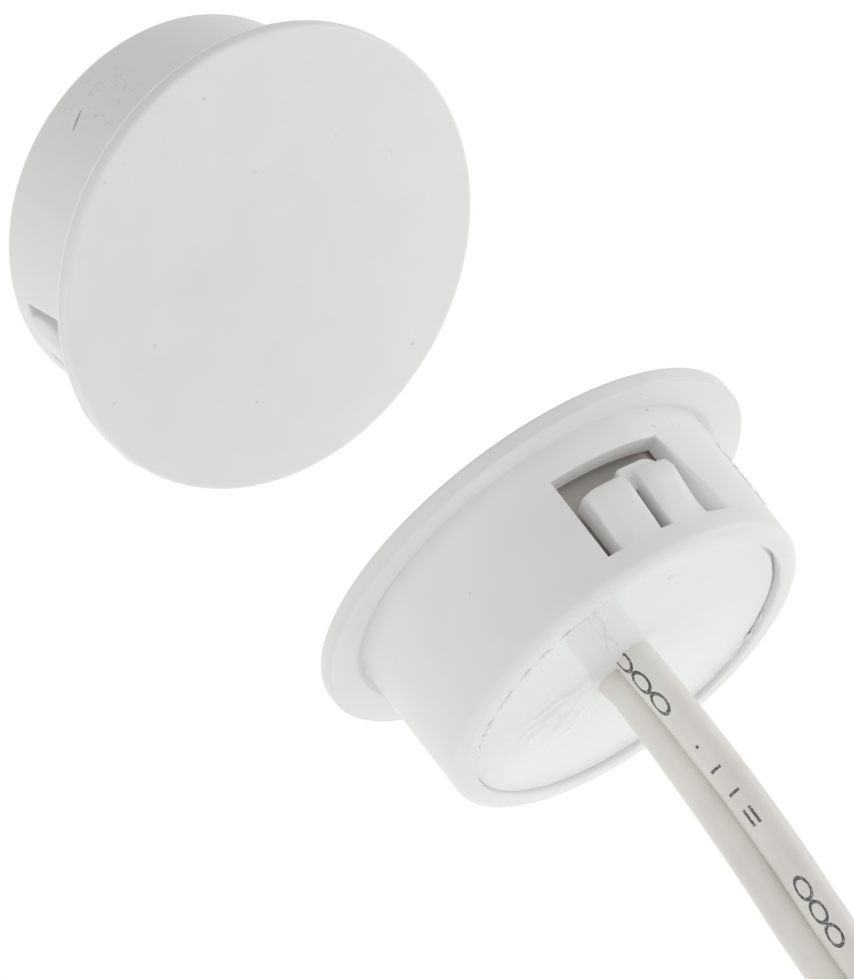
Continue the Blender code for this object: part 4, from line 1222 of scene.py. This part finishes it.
class CONTACT_OT_lead(bpy.types.Operator):
    """Model the flat twin lead with its coil, the split legs, bare strands and the tie"""

    bl_idname = "contact.lead"
    bl_label = "Lead"

    def execute(self, context):
        scene = context.scene
        lead, ends = scene.contact_lead, scene.contact_ends
        points = lead_path(lead, ends)

        def wide_at(index, run):
            dip = lead.lay_dip * math.sin(math.pi / 2 * min(1.0, run / LAID_DOWN))
            back = min(1.0, max(0.0, (run - RISE_START) / RISE_RUN))
            back = back * back * (3 - 2 * back)
            angle = (lead.lay - dip) * (1 - back) + math.pi / 2 * back
            return Vector((0.0, math.cos(angle), math.sin(angle)))

        def flare(run, x, y):
            """The lower core's end is a little swollen where it leaves the resin."""
            half = lead.lobe_pitch / 2
            if x >= -half / 4:
                return x, y
            grow = 1.0 + lead.flare * math.exp(-((run - SWELL_MIDDLE) / SWELL_REACH) ** 2)
            return -half + (x + half) * grow, y * grow

        vinyl = lead_material(lead, "lead_vinyl", True)
        mesh = swept("twin_lead", points, lead_section(lead), wide_at, "along_lead", flare)
        cord = place("twin_lead", mesh, vinyl, ["lead_cable", "cable_coil"], sharp=80.0)
        pieces = self.add_legs(lead, ends, points[-1], wide_at(0, 1.0))
        pieces.append(self.add_tie(lead, ends))
        exit_point = half_matrix(scene, 1) @ Vector((0.0, 0.0, scene.contact_housing.barrel_length
                                                     - scene.contact_resin.recess))
        path_length(points)
        [tuple(point) for point in points]
        return {"FINISHED"}

    def add_legs(self, lead, ends, end, wide):
        """Two split legs and their bare strands."""
        plain = lead_material(lead, "leg_vinyl", False)
        copper = textured("bare_copper", ends.copper, 0.28, 0.08 * MM, 0.003 * MM, metallic=1.0, tone=0.8)
        pieces = []
        for letter, side in (("a", -1), ("b", 1)):
            begin = end + wide * side * lead.lobe_pitch / 2
            points = smooth_points([begin] + metres(LEG_ROUTES[letter]), 0.5 * MM)
            radius = lead.lobe_diameter / 2 - LEG_SLIMMER
            for point in points:
                point.z = max(point.z, radius)
            mesh = thread(f"leg_{letter}", points, radius, 16)
            pieces.append(place(f"split_leg_{letter}", mesh, plain, [f"lead_leg_{letter}"],
                                sharp=60.0))
            way = (points[-1] - points[-2]).normalized()
            mesh = self.strands(ends, points[-1], way)
            pieces.append(place(f"strands_{letter}", mesh, copper,
                                [f"conductor_end_{letter}"], sharp=60.0))
        return pieces

    def strands(self, ends, start, way):
        """Bundle of twisted strands."""
        shape = bmesh.new()
        side = way.cross(Vector((0.0, 0.0, 1.0))).normalized()
        up = side.cross(way)
        steps = 24
        for strand in range(ends.strand_count + 1):
            offset = 0.0 if strand == 0 else ends.strand_diameter
            points = []
            for index in range(steps + 1):
                part = index / steps
                angle = 2 * math.pi * (strand / ends.strand_count + 0.8 * part)
                points.append(start - way * STRAND_ROOT + way * (BARE_END + STRAND_ROOT) * part
                              + (side * math.cos(angle) + up * math.sin(angle)) * offset)
            mesh = thread("strand", points, ends.strand_diameter / 2, way=up)
            shape.from_mesh(mesh)
            bpy.data.meshes.remove(mesh)
        return to_mesh(shape, "strands")

    def add_tie(self, lead, ends):
        """Paper band with rounded corners around the coil's turns."""
        half = lead.lobe_diameter + TIE_SIDE_GAP
        tall = (lead.lobe_pitch + lead.lobe_diameter) / 2 + TIE_TOP_GAP
        outline = []
        for sign_x, sign_z, start in ((1, 1, 0), (-1, 1, 90), (-1, -1, 180), (1, -1, 270)):
            for index in range(7):
                angle = math.radians(start + 15 * index)
                outline.append((sign_x * (half - TIE_CORNER) + TIE_CORNER * math.cos(angle),
                                sign_z * (tall - TIE_CORNER) + TIE_CORNER * math.sin(angle), angle))
        shape = bmesh.new()
        loops = []
        for side, grow in ((-1, 0.0), (-1, 1.0), (1, 1.0), (1, 0.0)):
            thick = grow * ends.tie_thickness
            loops.append([shape.verts.new((lead.coil_radius + x + thick * math.cos(angle),
                                           side * ends.tie_width / 2,
                                           lead.coil_level + z + thick * math.sin(angle)))
                          for x, z, angle in outline])
        for first, second in zip(loops, loops[1:] + loops[:1]):
            bridge(shape, first, second)
        mesh = to_mesh(shape, "paper_tie")
        mesh.transform(Matrix.Translation((COIL_CENTRE[0] * MM, COIL_CENTRE[1] * MM, 0.0))
                       @ Matrix.Rotation(ends.tie_angle, 4, "Z"))
        paper = textured("tie_paper", ends.paper, 0.75, 0.25 * MM, 0.02 * MM, tone=0.9)
        return place("paper_tie", mesh, paper, ["coil_tie"])


class CONTACT_OT_inside(bpy.types.Operator):
    """Give the parts inside the barrels their finishes"""

    bl_idname = "contact.inside"
    bl_label = "Inner parts"

    def execute(self, context):
        scene = context.scene
        inside, lead, ends = scene.contact_inside, scene.contact_lead, scene.contact_ends
        finishes = {
            "reed_carrier": textured("carrier_plastic", inside.carrier, 0.6, 0.2 * MM, 0.008 * MM, tone=0.9),
            "reed_blade": textured("blade_steel", inside.steel, 0.28, 0.1 * MM, 0.003 * MM, 1.0),
            "solder_bead": textured("solder", inside.solder, 0.3, 0.2 * MM, 0.01 * MM, 1.0),
            "inner_leg": textured("inner_vinyl", lead.vinyl, 0.45, 0.2 * MM, 0.006 * MM),
            "inner_conductor": textured("inner_copper", ends.copper, 0.3, 0.1 * MM, 0.004 * MM, 1.0),
            "magnet": textured("nickel_plate", inside.nickel, 0.22, 0.3 * MM, 0.004 * MM, 1.0),
        }
        finishes["magnet_carrier"] = finishes["reed_carrier"]
        glass = textured("reed_glass", inside.glass, 0.05, 0.4 * MM, 0.001 * MM)
        glass.node_tree.nodes["Principled BSDF"].inputs["Transmission Weight"].default_value = 0.95
        finishes["reed_glass"] = glass
        for name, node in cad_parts.items():
            finish = finishes.get(name) or finishes.get(name.rsplit("_", 1)[0])
            if finish and not node.hide_render:
                node.data.materials.clear()
                node.data.materials.append(finish)
        return {"FINISHED"}


def view_axes(stage):
    """The camera's right, up and backward ways before it turns to the picture's middle."""
    turned, risen = stage.azimuth, stage.elevation
    right = Vector((math.cos(turned), math.sin(turned), 0.0))
    back = Vector((math.sin(turned) * math.cos(risen), -math.cos(turned) * math.cos(risen), math.sin(risen)))
    return right, back.cross(right), back


def seen_white(tree, strength_elsewhere):
    """Value that is 1 for camera, glossy and transmission rays, and another strength elsewhere."""
    rays = tree.nodes.new("ShaderNodeLightPath")
    seen_by = math_node(tree, "MAXIMUM", math_node(tree, "MAXIMUM", rays.outputs["Is Camera Ray"],
                                                   rays.outputs["Is Glossy Ray"]),
                        rays.outputs["Is Transmission Ray"])
    return range_node(tree, seen_by, 0.0, 1.0, strength_elsewhere, 1.0)


class CONTACT_OT_stage(bpy.types.Operator):
    """Set up the white floor, the soft light and the camera"""

    bl_idname = "contact.stage"
    bl_label = "Stage"

    def execute(self, context):
        scene = context.scene
        stage = scene.contact_stage
        scene.view_settings.view_transform = "Standard"
        self.add_floor(stage)
        self.add_sky(scene, stage)
        self.add_lamps(stage)
        self.add_camera(scene, stage)
        return {"FINISHED"}

    def add_floor(self, stage):
        """Pale floor that shows as white and keeps the object's shadow."""
        shape = bmesh.new()
        bmesh.ops.create_grid(shape, x_segments=1, y_segments=1, size=stage.floor_size / 2)
        material, _, shader = new_material("white_floor", 0.9)
        shader.inputs["Base Color"].default_value = (*[stage.floor_tone] * 3, 1.0)
        shader.inputs["Specular IOR Level"].default_value = 0.0
        shader.inputs["Emission Color"].default_value = (0.985, 1.0, 0.997, 1.0)
        shader.inputs["Emission Strength"].default_value = stage.floor_glow
        mesh = bpy.data.meshes.new("floor")
        shape.to_mesh(mesh)
        shape.free()
        mesh.materials.append(material)
        floor = in_scene("floor", mesh)

    def add_sky(self, scene, stage):
        """Even white light from all round."""
        world = bpy.data.worlds.new("white_room")
        world.use_nodes = True
        scene.world = world
        tree = world.node_tree
        background = tree.nodes["Background"]
        background.inputs["Color"].default_value = (1.0, 1.0, 1.0, 1.0)
        tree.links.new(seen_white(tree, stage.sky), background.inputs["Strength"])

    def add_lamps(self, stage):
        """Three large soft lamps: at the camera's right, near the camera and behind the object."""
        for name, spot in LAMP_PLACES.items():
            light = bpy.data.lights.new(name, "AREA")
            light.shape = "RECTANGLE"
            light.size, light.size_y = LAMP_SIZE
            light.energy = getattr(stage, name)
            lamp = in_scene(name, light)
            lamp.location = spot
            way = LAMP_AIM - lamp.location
            lamp.rotation_euler = way.to_track_quat("-Z", "Y").to_euler()

    def add_camera(self, scene, stage):
        """Camera at the photograph's angle, aimed at the middle of its picture."""
        right, up, back = view_axes(stage)
        magnet = half_matrix(scene, -1).translation
        target = Vector((magnet.x, magnet.y, TARGET_HEIGHT))
        place_at = target + back * stage.distance
        middle = target + right * stage.aim_right - up * stage.aim_down
        backward = (place_at - middle).normalized()
        sideways = up.cross(backward).normalized()
        matrix = Matrix((sideways, backward.cross(sideways), backward)).transposed().to_4x4()
        matrix.translation = place_at
        data = bpy.data.cameras.new("camera")
        data.sensor_fit = "HORIZONTAL"
        data.sensor_width = 36.0
        data.lens = stage.lens
        data.clip_start = 0.05
        data.clip_end = 20.0
        camera = in_scene("camera", data)
        camera.matrix_world = matrix
        scene.camera = camera


class CONTACT_PT_panel(bpy.types.Panel):
    """Buttons that model the contact piece by piece"""

    bl_idname = "CONTACT_PT_panel"
    bl_label = "Recessed contact"
    bl_space_type = "VIEW_3D"
    bl_region_type = "UI"
    bl_category = "Contact"

    def draw(self, context):
        for step in STEPS:
            self.layout.operator(step.bl_idname)


GROUPS = {
    "contact_housing": ContactHousing,
    "contact_rest": ContactRest,
    "contact_resin": ContactResin,
    "contact_lead": ContactLead,
    "contact_ends": ContactEnds,
    "contact_inside": ContactInside,
    "contact_stage": ContactStage,
}
STEPS = (CONTACT_OT_stage, CONTACT_OT_lead, CONTACT_OT_housings, CONTACT_OT_resin, CONTACT_OT_inside)


def register():
    """Register the classes and hang the settings on the scene."""
    for item in (*GROUPS.values(), *STEPS, CONTACT_PT_panel):
        bpy.utils.register_class(item)
    for name, item in GROUPS.items():
        setattr(bpy.types.Scene, name, bpy.props.PointerProperty(type=item))


def unregister():
    """Remove the settings and the classes."""
    for name in GROUPS:
        delattr(bpy.types.Scene, name)
    for item in (CONTACT_PT_panel, *reversed(STEPS), *reversed(GROUPS.values())):
        bpy.utils.unregister_class(item)


def main():
    """Make everything in order."""
    register()
    make_grain_group()
    make_specks_group()
    make_scuffs_group()
    make_marks_group()
    bpy.ops.contact.stage()
    bpy.ops.contact.lead()
    bpy.ops.contact.housings()
    bpy.ops.contact.resin()
    bpy.ops.contact.inside()


if __name__ == "__main__":
    main()
